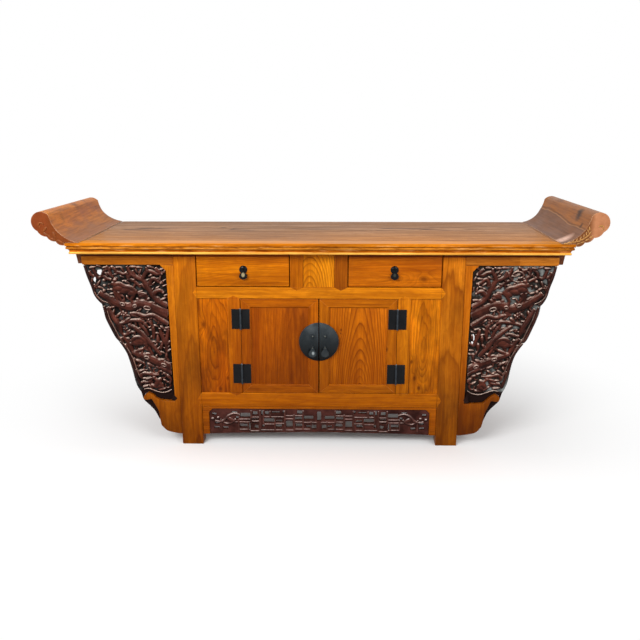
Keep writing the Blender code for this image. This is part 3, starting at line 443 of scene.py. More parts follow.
def dress(node, finish):
    """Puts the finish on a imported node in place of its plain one."""
    data = nodes[node].data
    data.materials.clear()
    data.materials.append(finish)


nodes_finish = {}


def adopt(piece, node, finish):
    """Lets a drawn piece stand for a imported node."""
    nodes_finish[node] = finish
    piece.data.materials.clear()
    piece.data.materials.append(finish)
    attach(piece, body_of(node))
    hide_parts(node)


def add_piece(piece, finish):
    """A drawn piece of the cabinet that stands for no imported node."""
    piece.data.materials.append(finish)
    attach(piece, "cabinet")


def baked(holder):
    """The mesh of an object with its modifiers applied. The object is removed."""
    graph = bpy.context.evaluated_depsgraph_get()
    mesh = bpy.data.meshes.new_from_object(holder.evaluated_get(graph))
    bpy.data.objects.remove(holder)
    return mesh


def evaluated(holder, name):
    """A new object with the holder's modifiers applied. The holder is removed."""
    mesh = baked(holder)
    mesh.name = name
    return new_object(name, mesh)


def rounded(name, mesh, width, segments, angle):
    """The mesh with the edges rounded off that are sharper than an angle in degrees."""
    holder = new_object(name, mesh)
    bevel = holder.modifiers.new("round", "BEVEL")
    bevel.width = width
    bevel.segments = segments
    bevel.limit_method = "ANGLE"
    bevel.angle_limit = radians(angle)
    bevel.harden_normals = True
    mesh.shade_smooth()
    return evaluated(holder, name)


WELD = 1e-6
FLAT_ANGLE = 0.002


def eased(name, mesh, width):
    """The mesh with its sharp edges rounded off."""
    bm = bmesh.new()
    bm.from_mesh(mesh)
    bmesh.ops.remove_doubles(bm, verts=bm.verts, dist=WELD)
    bmesh.ops.dissolve_limit(bm, angle_limit=FLAT_ANGLE, verts=bm.verts, edges=bm.edges)
    bm.to_mesh(mesh)
    bm.free()
    return rounded(name, mesh, width, 2, 32)


def skinned(bm, rings, name):
    """The closed mesh of a row of rings."""
    count = len(rings[0])
    for a, b in zip(rings, rings[1:]):
        for i in range(count):
            j = (i + 1) % count
            bm.faces.new((a[i], a[j], b[j], b[i]))
    bm.faces.new(rings[0])
    bm.faces.new(rings[-1])
    bmesh.ops.recalc_face_normals(bm, faces=bm.faces)
    return mesh_of(bm, name)


def rectangle(left, right, low, high):
    return [(left, low), (right, low), (right, high), (left, high)]


def soften(node, width, finish, shrink=0.0):
    """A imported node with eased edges, and a little smaller all round where that is asked."""
    mesh = nodes[node].data.copy()
    if shrink:
        low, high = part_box(node)
        middle = (low + high) / 2
        for vert in mesh.vertices:
            vert.co.x -= shrink * (1 if vert.co.x > middle.x else -1)
            vert.co.z -= shrink * (1 if vert.co.z > middle.z else -1)
    adopt(eased(f"{node}_eased", mesh, width), node, finish)


# Tones of the wood, as 0 to 255
TOP_TONE = (178, 130, 86)
FRONT_UP_TONE = (236, 150, 44)
END_UP_TONE = (168, 116, 72)
# Steps of the top's moulding: painted shade darkens the groove and the cove, the bead between them is paler
# and pinkish, and a painted highlight brightens the bottom bead
LIP = (
    (0.7715, 0.7757, (0.40, 0.33, 0.25)), (0.7645, 0.7715, (1.05, 1.25, 3.2)),
    (0.755, 0.7645, (0.78, 0.64, 0.52)), (0.7455, 0.7545, (1.6, 2.7, 14.0)),
)

TOP_KNOTS = ((0.102, -0.384, 0.014), (0.032, 0.197, 0.004), (0.035, 0.387, 0.004), (0.022, 0.522, 0.004))
dress(
    "top_panel",
    wood(
        "top_grain", "x", "y", 3, TOP_TONE, (0.06, 0.62), (0.01, 0.03), spacing=0.010, wobble=0.012,
        line=1.0, blotch=0.22, blotch_size=2.2, gloss=0.42, knots=TOP_KNOTS, dark=(74, 42, 24),
        fades=(("y", 0.06, -0.16, (1.38, 1.16, 0.74)),), shine=0.03,
    ),
)
soften(
    "top_rail_front", 0.0012,
    wood(
        "front_rail_grain", "x", "y", 71, (220, 127, 18), (-0.2, 0.70), line=0.4, up_tone=FRONT_UP_TONE,
        bands=LIP, wear=0.7, shine=0.03,
    ),
)
soften(
    "drawer_rail", 0.0018, wood("drawer_rail_grain", "x", "z", 72, (242, 142, 16), (0.55, -0.12), line=0.4),
)
soften(
    "bottom_rail", 0.0018, wood("bottom_rail_grain", "x", "z", 73, (236, 132, 8), (0.20, -0.10), line=0.3),
)
soften(
    "apron_frame", 0.0015, wood("apron_frame_grain", "x", "z", 74, (222, 120, 10), (0.16, -0.10), line=0.3),
)
# A stain low on the left leg, and the shadow under the top's overhang painted as a dark band, lighter on the
# drawer fronts
LOW_LEFT = ("z", 0.36, 0.18, (0.79, 0.74, 0.55))
TOP_SHADOW_BAND = ((0.7285, 0.7500, (0.28, 0.18, 0.10)),)
DRAWER_SHADOW_BAND = ((0.7285, 0.7500, (0.44, 0.33, 0.24)),)
# Tones of the left piece and of the right one. Foot is the level of a bracket's stain
BY_SIDE = {
    "leg": ((218, 122, 12), (212, 120, 16)),
    "fixed": ((234, 122, 4), (236, 134, 12)),
    "post": ((206, 108, 6), (224, 128, 12)),
    "stile": ((196, 100, 4), (206, 112, 8)),
    "panel": ((182, 88, 3), (216, 115, 8)),
    "drawer": ((230, 128, 6), (212, 112, 8)),
    "wing_rail": ((196, 112, 22), (192, 112, 30)),
    "foot": ((0.74, 0.68, 0.5), (0.62, 0.55, 0.42)),
    "bracket": ((212, 120, 12), (202, 110, 12)),
}
for index, (word, side) in enumerate(SIDES):
    tone = {key: pair[index] for key, pair in BY_SIDE.items()}
    soften(
        f"leg_front_{word}", 0.0025,
        wood(
            f"leg_grain_{word}", "z", "x", 11 + side, tone["leg"], (side * 0.47, 0.03), (0.01, 0.03),
            spacing=0.011, line=1.1, blotch=0.28, blotch_size=5.5, bands=TOP_SHADOW_BAND,
            fades=(FEET_SHADE, LOW_LEFT) if side < 0 else (FEET_SHADE,),
        ),
    )
    soften(
        f"leg_rear_{word}", 0.0025,
        wood(f"rear_leg_grain_{word}", "z", "x", 15 + side, tone["leg"], (side * 0.50, 0.30)),
    )
    knots = (((-0.342, 0.267, 0.008), (-0.370, 0.224, 0.010), (-0.424, 0.475, 0.014)) if side < 0 else
             ((0.344, 0.335, 0.007), (0.356, 0.271, 0.009), (0.373, 0.232, 0.010)))
    dress(
        f"fixed_panel_{word}",
        wood(
            f"fixed_grain_{word}", "z", "x", 21 + side, tone["fixed"], (side * 0.385, -0.13), (0.0, -0.20),
            spacing=0.010, wobble=0.036, line=1.1, blotch=0.50, blotch_size=9.0, knots=knots,
            fades=(FEET_SHADE, ("z", 0.42, 0.27, (0.82, 0.77, 0.65))) if side < 0 else (FEET_SHADE,),
        ),
    )
    soften(
        f"side_panel_{word}", 0.001,
        wood(f"side_grain_{word}", "z", "y", 25 + side, tone["fixed"], (0.02, side * 0.42)),
    )
    soften(
        f"door_post_{word}", 0.0015,
        wood(f"post_grain_{word}", "z", "x", 31 + side, tone["post"], (side * 0.28, -0.1), line=0.25),
    )
    soften(
        f"drawer_front_{word}", 0.0018,
        wood(
            f"drawer_grain_{word}", "x", "z", 45 + side, tone["drawer"], (0.64, -0.19), (0.05, -0.12 * side),
            line=0.6, spacing=0.008, blotch=0.22, knots=((0.650, 0.375, 0.016),) if side > 0 else (),
            bands=DRAWER_SHADOW_BAND,
        ),
        shrink=0.0012,
    )
    soften(
        f"wing_rail_{word}", 0.002,
        wood(
            f"wing_rail_grain_{word}", "x", "z", 51 + side, tone["wing_rail"], (0.70, -0.1), line=0.3,
            bands=TOP_SHADOW_BAND, fades=(("x", 0.713, 0.717, (1.3, 1.4, 1.6)),) if side > 0 else (),
        ),
    )
    soften(
        f"wing_bracket_{word}", 0.0022,
        wood(
            f"wing_bracket_grain_{word}", "z", "x", 55 + side, tone["bracket"], (side * 0.6, -0.1), line=0.3,
            blotch=0.2, fades=(FEET_SHADE, ("z", 0.26, 0.14, tone["foot"])),
        ),
    )
    soften(
        f"end_batten_{word}", 0.002,
        wood(f"batten_grain_{word}", "y", "x", 61 + side, (112, 66, 40), (side * 0.8, 0.6)),
    )
    soften(
        f"top_rail_{word}", 0.0012,
        wood(
            f"end_rail_grain_{word}", "y", "x", 65 + side, (208, 122, 20), (side * 0.86, 0.70),
            up_tone=END_UP_TONE, bands=LIP, wear=0.7, shine=0.03,
        ),
    )


def plain_wood(name, along, across, seed):
    return wood(name, along, across, seed, (176, 134, 92), gloss=0.7, fades=())


soften("back_panel", 0.001, plain_wood("back_grain", "z", "x", 81))
soften("cabinet_floor", 0.001, plain_wood("floor_grain", "x", "y", 82))
soften("drawer_shelf", 0.001, plain_wood("shelf_grain", "x", "y", 83))
for word, side in SIDES:
    soften(
        f"drawer_tray_{word}", 0.0008, plain_wood(f"tray_grain_{word}", "y", "x", 85 + side),
    )


# The divider: a panel between two stiles that end in points
STILE = 0.047
DIVIDER_SUNK = 0.003
DIVIDER_SEAM = 0.0002
DIVIDER_POINT = 0.012


def make_divider():
    low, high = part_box("drawer_divider")
    ends = (low.x, low.x + STILE, high.x - STILE, high.x)
    tones = ((216, 116, 6), (254, 156, 18), (176, 92, 8))
    for i, (tone, word) in enumerate(zip(tones, ("left", "panel", "right"))):
        front = low.y + (DIVIDER_SUNK if i == 1 else 0.0)
        left, right = ends[i] + (DIVIDER_SEAM if i else 0), ends[i + 1] - (DIVIDER_SEAM if i < 2 else 0)
        board = prism([rectangle(left, right, low.z, high.z)], front, high.y)
        if i == 1:
            grain = wood(
                "divider_panel_grain", "z", "x", 75, tone, (-0.035, -0.0045), (0.0, -0.35), spacing=0.0085,
                wobble=0.006, line=1.35, blotch=0.2,
            )
        else:
            grain = wood(
                f"divider_grain_{word}", "z", "x", 76 + i, tone, (ends[i] + 0.3, -0.1), line=0.6,
                blotch=0.25,
            )
        adopt(eased(f"divider_{word}", board, 0.0008), "drawer_divider", grain)
        if i != 1:
            tip = ((left + right) / 2, low.z - DIVIDER_POINT)
            make_shoulder(f"divider_point_{word}", grain, [(left, low.z), (right, low.z), tip])


# Pointed shoulders lie a hair proud of the piece that they enter
SHOULDER_PROUD = 0.00035
SHOULDER_ROOT = 0.003


def make_shoulder(name, finish, corners):
    mesh = prism([corners], FRONT_Y - SHOULDER_PROUD, FRONT_Y + SHOULDER_ROOT)
    add_piece(new_object(name, mesh), finish)


# Doors: four mitred members round each panel
DOOR_CHAMFER = 0.0045
DOOR_EASE = 0.0016
DOOR_STILE, DOOR_RAIL = 0.037, 0.033
GROOVE = 0.0062
GROOVE_PLAY = 0.0003
MITRE_SEAM = 0.00025


def door_member(name, corner, width, front, back, groove):
    """One mitred member of a door's frame. Corner gives the place of a point of its section at either end."""
    ease = DOOR_EASE
    section = [
        (0.0, back), (0.0, front + ease), (ease * 0.3, front + ease * 0.3), (ease, front),
        (width - DOOR_CHAMFER, front), (width, front + DOOR_CHAMFER), (width, groove[0]),
        (width - GROOVE, groove[0]), (width - GROOVE, groove[1]), (width, groove[1]), (width, back),
    ]
    bm = bmesh.new()
    rings = [[bm.verts.new(corner(end, across / width, y)) for across, y in section] for end in (0, 1)]
    return new_object(name, skinned(bm, rings, name))


def make_door(index, word, side):
    low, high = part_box(f"door_frame_{word}")
    panel_low, panel_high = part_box(f"door_panel_{word}")
    groove = (panel_low.y - GROOVE_PLAY, panel_high.y + GROOVE_PLAY)
    seam = MITRE_SEAM
    stile_tone, panel_tone = BY_SIDE["stile"][index], BY_SIDE["panel"][index]
    for part in ("upper", "lower", "left", "right"):
        level = part in ("upper", "lower")
        width = DOOR_RAIL if level else DOOR_STILE

        def corner(end_index, t, y):
            if level:
                z = high.z - DOOR_RAIL * t if part == "upper" else low.z + DOOR_RAIL * t
                x = low.x + DOOR_STILE * t + seam if end_index == 0 else high.x - DOOR_STILE * t - seam
            else:
                x = low.x + DOOR_STILE * t if part == "left" else high.x - DOOR_STILE * t
                z = low.z + DOOR_RAIL * t + seam if end_index == 0 else high.z - DOOR_RAIL * t - seam
            return x, y, z

        name = f"door_{word}_{part}_member"
        piece = door_member(name, corner, width, low.y, high.y, groove)
        axes = ("x", "z") if level else ("z", "x")
        knots = ((side * 0.250, 0.384, 0.008),) if (part == "right" and side > 0) else ()
        seed = 101 + 10 * index + len(part)
        grain = wood(f"{name}_grain", *axes, seed + level, stile_tone, (0.2, -0.1), line=0.28, knots=knots)
        adopt(piece, f"door_frame_{word}", grain)
    if side < 0:
        grain = wood(
            "door_panel_grain_left", "z", "x", 41, panel_tone, (-0.10, -0.16), (0.04, 0.05), wobble=0.014,
            line=0.45, blotch=0.30, blotch_size=4.5,
        )
    else:
        grain = wood(
            "door_panel_grain_right", "z", "x", 42, panel_tone, (0.152, (panel_low.y - 0.0631) / 2),
            (0.0, -0.4165), bow=0.3158, wobble=0.003, line=1.3, blotch=0.14,
            knots=((0.082, 0.457, 0.006), (0.080, 0.443, 0.004)),
        )
    soften(f"door_panel_{word}", 0.0006, grain)


for index, (word, side) in enumerate(SIDES):
    make_door(index, word, side)


# Studs, hinges and face plate, in metres from the middle and from the floor
# Places of the studs, where pale dots are painted as highlights
STUD_X = 0.023
STUDS = (0.435, 0.393)
BARREL_X = 0.28575
PLATE_Z = 0.413
PLATE_RADIUS = 0.073
# How far below and above its middle the plate's shading ends
SHADE_BELOW, SHADE_ABOVE = 0.068, 0.06


def iron(name, seed, base=(13, 14, 16), rough=0.40, dome=None, barrel=None, glint=None):
    """Blackened iron, hammered a little.

    Dome is the middle and radius of a plate that is raised in its middle, with painted shade running from
    dark below to pale above and painted highlights on its studs. Barrel is how far out a hinge's barrel
    stands, where a paler line is painted as a highlight, and glint is the middle, size and colour of a
    painted highlight.
    """
    tree = Tree(name)
    tone = linear(*base)
    place = tree.place()
    moved = tree.strewn(place, seed)
    cloud = tree.noise(moved, 42.0, 4.0, 0.6)
    speck = tree.noise(moved, 420.0, 3.0, 0.6)
    colour = tree.mix(tree.spread(cloud, 0.35, 0.7), shaded(tone, 0.55, 0.6, 0.65), tone)
    colour = tree.mix(tree.spread(speck, 0.62, 0.75, 0.0, 0.35), colour, linear(66, 62, 60))
    edge = tree.edges(0.0012, 0.3)
    colour = tree.mix(tree.times(edge, 0.3), colour, linear(92, 96, 104))
    x, _, z = tree.split(place)
    if dome:
        middle, radius = dome
        # Painted shade: dark below the plate's middle and pale above it
        shade = tree.spread(z, middle[2] - SHADE_BELOW, middle[2] + SHADE_ABOVE, 0.10, 2.6)
        colour = tree.vector("SCALE", colour, scale=shade)
        # Painted highlights: pale dots on the studs
        for stud_z in STUDS:
            out = tree.minus(tree.math("ABSOLUTE", x), STUD_X)
            up = tree.minus(z, stud_z)
            near = tree.distance(out, up)
            colour = tree.mix(tree.spread(near, 0.0012, 0.0026, 0.75, 0.0), colour, linear(120, 120, 106))
    if barrel:
        # A painted highlight: a paler line along the hinge's barrel
        off = tree.math("ABSOLUTE", tree.minus(tree.math("ABSOLUTE", x), barrel))
        colour = tree.mix(tree.spread(off, 0.0014, 0.0050, 0.75, 0.0), colour, linear(54, 60, 66))
    if glint:
        # A painted highlight at the glint
        spot_middle, size, bright = glint
        off = tree.vector("LENGTH", tree.away(place, spot_middle, (1.0, 0.0, 0.75)))
        colour = tree.mix(tree.spread(off, size * 0.5, size, 0.9, 0.0), colour, linear(*bright))
    tree.shader.inputs["Metallic"].default_value = 0.2
    uneven = tree.spread(cloud, 0.3, 0.75, rough * 0.8, rough * 1.3)
    height = tree.plus(tree.times(cloud, 0.8), tree.times(speck, 0.15))
    normal = tree.bump(height, 0.0009, 0.5)
    if dome:
        away = tree.away(place, middle, (1 / radius, 0.0, 1 / radius))
        normal = tree.bump(tree.minus(1.0, tree.vector("DOT_PRODUCT", away, away)), 0.012, 1.0, normal)
    return tree.finish(colour, uneven, 0.16, normal)


IRON = iron("iron_black", 1, rough=0.13)
# Hinges carry a painted highlight along the barrel
HINGE_IRON = iron("iron_hinge", 4, barrel=BARREL_X)
# The plate carries painted shade, and its studs painted highlights
PLATE_DOME = ((0.0, 0.0, PLATE_Z), PLATE_RADIUS)
PLATE_IRON = iron("iron_plate", 2, base=(29, 33, 35), rough=0.42, dome=PLATE_DOME)
BRIGHT_IRON = iron("iron_pin", 3, base=(120, 124, 128), rough=0.24)
# Painted highlights: a pale glint on the left drop, a beige reflection on the left bale and a grey one on the
# right bale
DROP_GLINT = ((-0.021, 0, 0.372), 0.006, (150, 158, 158))
DROP_IRON = {
    "left": iron("iron_drop_left", 5, base=(52, 58, 60), rough=0.12, glint=DROP_GLINT),
    "right": iron("iron_drop_right", 6, base=(48, 52, 54), rough=0.35),
}
BALE_IRON = {
    "left": iron("iron_bale_left", 7, rough=0.14, glint=((-0.271, 0, 0.665), 0.0075, (172, 160, 122))),
    "right": iron("iron_bale_right", 8, rough=0.3, glint=((0.271, 0, 0.665), 0.006, (58, 60, 52))),
}
for name in list(nodes):
    if name.startswith("face_plate"):
        soften(name, 0.0008, PLATE_IRON)
    elif name.startswith("hinge_pin"):
        dress(name, BRIGHT_IRON)
    elif name.startswith("hinge_"):
        soften(name, 0.0005, HINGE_IRON)
    elif name.startswith("door_pull"):
        dress(name, DROP_IRON[name.rsplit("_", 1)[-1]])
    elif name.startswith("drawer_pull"):
        dress(name, BALE_IRON[name.rsplit("_", 1)[-1]])
    elif name.startswith("drawer_rosette"):
        dress(name, IRON)


def smooth_line(points, steps):
    """A curve through all the points, with a few steps between each pair."""
    line = []
    last = len(points) - 1
    for i in range(last):
        four = points[max(i - 1, 0)], points[i], points[i + 1], points[min(i + 2, last)]
        for j in range(steps):
            t = j / steps
            square, cube = t * t, t**3
            weights = (
                2 * square - t - cube, 2 + 3 * cube - 5 * square, t + 4 * square - 3 * cube, cube - square,
            )
            line.append(tuple(sum(w * v for w, v in zip(weights, values)) / 2 for values in zip(*four)))
    return line + [tuple(points[-1])]


PETALS = 5
LEAF_WIDTH = 0.5


class Relief:
    """Carved forms on a ground, drawn from the front as x and z.

    Lift is how far a form's middle is off the ground, as a share of its height.
    """

    def __init__(self, ground_y, limits, edge=None):
        self.bm = bmesh.new()
        self.ground_y = ground_y
        self.limits = limits
        self.edge = edge
        self.room = ground_y - limits[0][1]

    def vert(self, x, y, z):
        low, high = self.limits
        kept = [min(max(value, a), b) for value, a, b in zip((x, y, z), low, high)]
        if self.edge:
            reach = between(self.edge, kept[2])
            kept[0] = min(max(kept[0], -reach), reach)
        return self.bm.verts.new(kept)

    def skin(self, rings, start, end):
        """Closes a row of rings with a point at each end."""
        bm = self.bm
        count = len(rings[0])
        first, last = self.vert(*start), self.vert(*end)
        for i in range(count):
            j = (i + 1) % count
            bm.faces.new((first, rings[0][j], rings[0][i]))
            bm.faces.new((last, rings[-1][i], rings[-1][j]))
            for a, b in zip(rings, rings[1:]):
                bm.faces.new((a[i], a[j], b[j], b[i]))

    def limb(self, points, radii, lift, flat=0.9, steps=4, around=9):
        """A round branch through the points, with one radius each."""
        line = smooth_line([(*point, radius) for point, radius in zip(points, radii)], steps)
        rings = []
        for i, (x, z, radius) in enumerate(line):
            before, after = line[max(i - 1, 0)], line[min(i + 1, len(line) - 1)]
            dx, dz = after[0] - before[0], after[1] - before[1]
            size = hypot(dx, dz) or 1.0
            high = min(radius * flat, self.room / (1 + lift) * (0.78 if radius > 0.011 else 1.0))
            middle = self.ground_y - high * lift
            ring = []
            for k in range(around):
                turn = 2 * pi * k / around
                out = radius * cos(turn)
                ring.append(self.vert(x - dz / size * out, middle - high * sin(turn), z + dx / size * out))
            rings.append(ring)
        ends = [
            (x, self.ground_y - min(radius * flat, self.room / (1 + lift)) * lift, z)
            for x, z, radius in (line[0], line[-1])
        ]
        self.skin(rings, *ends)

    def blob(self, x, z, long, wide, turn, height, lift, point=0.0, around=12):
        """An egg on the ground, long one way, wide the other, and drawn to a point where that is asked."""
        high = min(height, self.room / (1 + lift))
        middle = self.ground_y - high * lift
        rings = []
        steps = 8
        c, s = cos(turn), sin(turn)
        for i in range(1, steps):
            t = pi * i / steps
            along = -long * cos(t)
            narrow = sin(t) * (1 - point * (0.5 - 0.5 * cos(t)))
            ring = []
            for k in range(around):
                angle = 2 * pi * k / around
                side = wide * narrow * cos(angle)
                ring.append(
                    self.vert(
                        x + c * along - s * side, middle - high * narrow * sin(angle),
                        z + s * along + c * side,
                    )
                )
            rings.append(ring)
        self.skin(rings, (x - c * long, middle, z - s * long), (x + c * long, middle, z + s * long))

    def curl(self, x, z, radius, thick, turns, start, shrink=0.5):
        """A scroll: an arc that winds inwards."""
        steps = 9
        points, radii = [], []
        for i in range(steps + 1):
            t = i / steps
            angle = start + 2 * pi * turns * t
            reach = radius * (1 - shrink * t)
            points.append((x + reach * cos(angle), z + reach * sin(angle)))
            radii.append(thick * (0.6 + 0.4 * sin(pi * min(1.0, 0.2 + t))))
        self.limb(points, radii, lift=0.4, flat=1.0, steps=2, around=7)

    def blossom(self, x, z, radius, start):
        """Five petals round a middle."""
        for i in range(PETALS):
            angle = start + 2 * pi * i / PETALS
            reach = radius * 0.58
            middle = (x + reach * cos(angle), z + reach * sin(angle))
            self.blob(*middle, radius * 0.46, radius * 0.34, angle, height=radius * 0.42, lift=0.35)
        self.blob(x, z, radius * 0.28, radius * 0.28, 0, height=radius * 0.5, lift=0.45)

    def leaf(self, x, z, long, turn, height):
        """A pointed leaf, with its height as a share of its length."""
        self.blob(x, z, long, long * LEAF_WIDTH, turn, height=long * height, lift=0.3, point=0.55, around=9)

    def piece(self, name, base, voxel):
        """The forms and a base mesh as one closed skin."""
        if base is not None:
            self.bm.from_mesh(base)
        bmesh.ops.recalc_face_normals(self.bm, faces=self.bm.faces)
        holder = new_object(name, mesh_of(self.bm, name))
        remesh = holder.modifiers.new("remesh", "REMESH")
        remesh.mode = "VOXEL"
        remesh.voxel_size = voxel
        remesh.use_smooth_shade = True
        smoothing = holder.modifiers.new("smooth", "SMOOTH")
        smoothing.factor = 0.5
        smoothing.iterations = 1
        piece = evaluated(holder, name)
        piece.data.shade_smooth()
        return piece


def prism(loops, low_y, high_y):
    """A board between two depths whose outline and holes are drawn from the front."""
    curve = bpy.data.curves.new("outline", "CURVE")
    curve.dimensions = "2D"
    curve.fill_mode = "BOTH"
    curve.extrude = (high_y - low_y) / 2
    for loop in loops:
        spline = curve.splines.new("POLY")
        spline.points.add(len(loop) - 1)
        for point, (u, v) in zip(spline.points, loop):
            point.co = (u, v, 0, 1)
        spline.use_cyclic_u = True
    mesh = baked(new_object("outline", curve))
    mesh.transform(Matrix.Translation((0, (low_y + high_y) / 2, 0)) @ Matrix.Rotation(pi / 2, 4, "X"))
    bm = bmesh.new()
    bm.from_mesh(mesh)
    bmesh.ops.remove_doubles(bm, verts=bm.verts, dist=WELD)
    bmesh.ops.recalc_face_normals(bm, faces=bm.faces)
    bm.to_mesh(mesh)
    bm.free()
    return mesh


def less(mesh, cutter):
    """The mesh with another one cut out of it."""
    body, tool = new_object("body", mesh), new_object("cutter", cutter)
    boolean = body.modifiers.new("cut", "BOOLEAN")
    boolean.operation = "DIFFERENCE"
    boolean.object = tool
    boolean.solver = "EXACT"
    made = baked(body)
    bpy.data.objects.remove(tool)
    return made


# The way from which a painted highlight falls on the carving's crests
GLEAM_FROM = Vector((-0.1, -0.62, 0.78))


def carved_wood(
    name, ground_y, depth, ground, seed, low_z=0.0, tone=(86, 43, 32), crest_highlight=(240, 209, 192), side=0,
):
    """Dark lacquered carving.

    Its upward faces and crests get painted highlights and its downward faces and hollows painted shade.
    Above low z its ground has dark patches, which on a wing spread near the stile.
    """
    tree = Tree(name)
    place = tree.place()
    moved = tree.strewn(place, seed)
    height = tree.math("DIVIDE", tree.minus(ground_y, tree.split(place)[1]), depth)
    cloud = tree.noise(moved, 24.0, 4.0, 0.6)
    fine = tree.noise(moved, 190.0, 3.0, 0.6)
    slope = Vector((-0.31 * side, 0.0, 0.95)).normalized()
    run = tree.vector("DOT_PRODUCT", moved, (slope.z, 0.0, -slope.x))
    across = tree.vector("DOT_PRODUCT", moved, tuple(slope))
    grain = tree.noise(tree.join(across, 0.0, tree.times(run, 0.1)), 240.0, 3.0, 0.6)
    mid = linear(*tone)
    brown = tree.mix(
        tree.spread(cloud, 0.34, 0.68), shaded(mid, 0.34, 0.30, 0.28), shaded(mid, 1.25, 1.2, 1.2),
    )
    brown = tree.mix(tree.spread(grain, 0.5, 0.75, 0.0, 0.5), brown, shaded(mid, 0.22, 0.2, 0.2))
    geometry = tree.geometry()
    crest = geometry["Pointiness"]
    upward = tree.split(geometry["Normal"])[2]
    # Painted shade: faces that look down are darker
    brown = tree.vector("SCALE", brown, scale=tree.spread(upward, -0.60, 0.25, 0.18, 1.1))
    # Painted light: faces that look up turn towards the highlight tone
    lit = tree.times(tree.spread(upward, 0.45, 0.9), tree.spread(fine, 0.34, 0.62, 0.2, 1.0))
    brown = tree.mix(tree.times(lit, 0.58), brown, linear(*crest_highlight))
    # Dark patches on the ground; on a wing they are painted shade and spread near the stile
    drift = tree.noise(moved, 15.0, 3.0, 0.6)
    if side:
        far = tree.math("ABSOLUTE", tree.split(place)[0])
        drift = tree.times(drift, tree.spread(far, 0.575, 0.625, 0.78, 1.0))
        patchy_ground = tree.mix(tree.spread(drift, 0.47, 0.60), shaded(ground, 0.08, 0.06, 0.05), ground)
    else:
        patchy_ground = tree.mix(tree.spread(drift, 0.38, 0.62), shaded(ground, 0.3, 0.26, 0.25), ground)
    level = tree.split(place)[2]
    patchy_ground = tree.mix(tree.spread(level, low_z - 0.004, low_z + 0.004), linear(*CARVED_DARK), patchy_ground)
    colour = tree.mix(tree.spread(height, 0.02, 0.16), patchy_ground, brown)
    colour = tree.mix(tree.spread(height, -0.12, -0.03, 1.0, 0.0), colour, shaded(mid, 0.5, 0.45, 0.4))
    # Painted highlight: raised crests that look up turn pale
    wear_and_highlight = tree.times(tree.spread(crest, 0.52, 0.57), tree.spread(height, 0.30, 0.75))
    wear_and_highlight = tree.times(wear_and_highlight, tree.spread(fine, 0.34, 0.66, 0.25, 1.0))
    wear_and_highlight = tree.times(wear_and_highlight, tree.spread(upward, -0.2, 0.4, 0.25, 1.0))
    colour = tree.mix(tree.times(wear_and_highlight, 0.7), colour, linear(*crest_highlight))
    # Painted highlight: crests that face that way turn near white
    toward = tree.vector("DOT_PRODUCT", geometry["Normal"], tuple(GLEAM_FROM.normalized()))
    gleam = tree.times(tree.spread(toward, 0.86, 0.97), tree.spread(crest, 0.505, 0.545, 0.1, 1.0))
    gleam = tree.times(gleam, tree.spread(fine, 0.32, 0.58, 0.25, 1.0))
    gleam = tree.times(gleam, tree.spread(height, 0.12, 0.35))
    colour = tree.mix(gleam, colour, tuple(min(1.0, 1.25 * c) for c in linear(*crest_highlight)))
    # Painted shade: hollows, where the surface curves in, are darkened
    hollow = tree.spread(crest, 0.43, 0.498, 0.07, 1.0)
    gloss = tree.spread(cloud, 0.3, 0.7, 0.20, 0.34)
    dull = tree.spread(height, 0.05, 0.25, 0.75, 0.0)
    bump = tree.bump(tree.plus(grain, cloud), 0.0014, 0.6)
    return tree.finish(
        tree.vector("SCALE", colour, scale=hollow), tree.math("MAXIMUM", dull, gloss), 0.08, bump,
    )


# Wing carvings are drawn on the left wing in steps of about a third of a mm, across from outside and down
STILE_EDGE = 0.551
CARVING_TOP = 0.6972
GROUND_DEPTH = 0.0165
RELIEF_DEPTH = 0.0125
RIDGE_Z = 0.216
CARVING_VOXEL = 0.0015
EDGE_VOXEL = 0.0012
CARVED_DARK = (26, 11, 8)
# The drawing's top row and height, the column of its stile there and how far that shifts down to the foot,
# the size of a step there and how much it grows, and the level of the top row and the height of a row
DRAWN_TOP, DRAWN_HEIGHT = 100, 1390
DRAWN_STILE, STILE_SHIFT = 940, 60
STEP_WIDTH, STEP_GROWTH = 0.0003376, 0.0000084
DRAWN_LEVEL, STEP_HEIGHT = 0.698, 0.0003496
# Limbs' radii are drawn in units of this size, and their points stray by a little
LIMB_UNIT = 0.00136
STRAY = 0.001
# Limbs thinner than this are drawn stouter, and from a trunk's radius on they lie deeper
STOUT_BELOW, STOUTER, TRUNK = 6.5, 1.2, 9
THIN_LIFT, TRUNK_LIFT, LIMB_FLAT = 0.5, 0.3, 0.95
# Units that the sizes of curls, blossoms, balls and leaves are drawn in
CURL_UNIT = 0.000345
BLOSSOM_UNIT = 0.00035
BALL_UNITS = (0.00038, 0.00036, 0.0004)
LEAF_UNIT = 0.00016
LEAF_STRAY = 0.3
FILL_LONG = (0.0085, 0.0130)
EYE_RADIUS, EYE_LIFT, EYE_STEPS = 0.0022, 5.8, 6
CLOUD_LIFT = 3.2
# Where forms stop: short of the stile, the face, the top and the rim, and far out, down and behind the ground
STILE_GAP, FACE_GAP, TOP_GAP, RIM_GAP = 0.0008, 0.0015, 0.0006, 0.004
FORMS_OUT, FORMS_DOWN, FORMS_BEHIND = 0.87, 0.05, 0.012
BASE_WELD, SLIVER = 0.00002, 0.00001
HOLE_FRONT, HOLE_BEHIND = 0.02, 0.04
TIP_PROUD, TIP_ROOT = 0.0006, 0.002
# How much fuller the right wing is than the left one and how wide the left one is, by height
FULLER = (
    (0.20, 0.013), (0.30, 0.010), (0.41, 0.011), (0.47, 0.006), (0.55, 0.009), (0.60, 0.0025), (0.64, 0.001),
    (0.70, -0.001),
)
WING_WIDTH = (
    (0.20, 0.120), (0.30, 0.150), (0.41, 0.200), (0.47, 0.228), (0.56, 0.250), (0.62, 0.275), (0.70, 0.295),
)


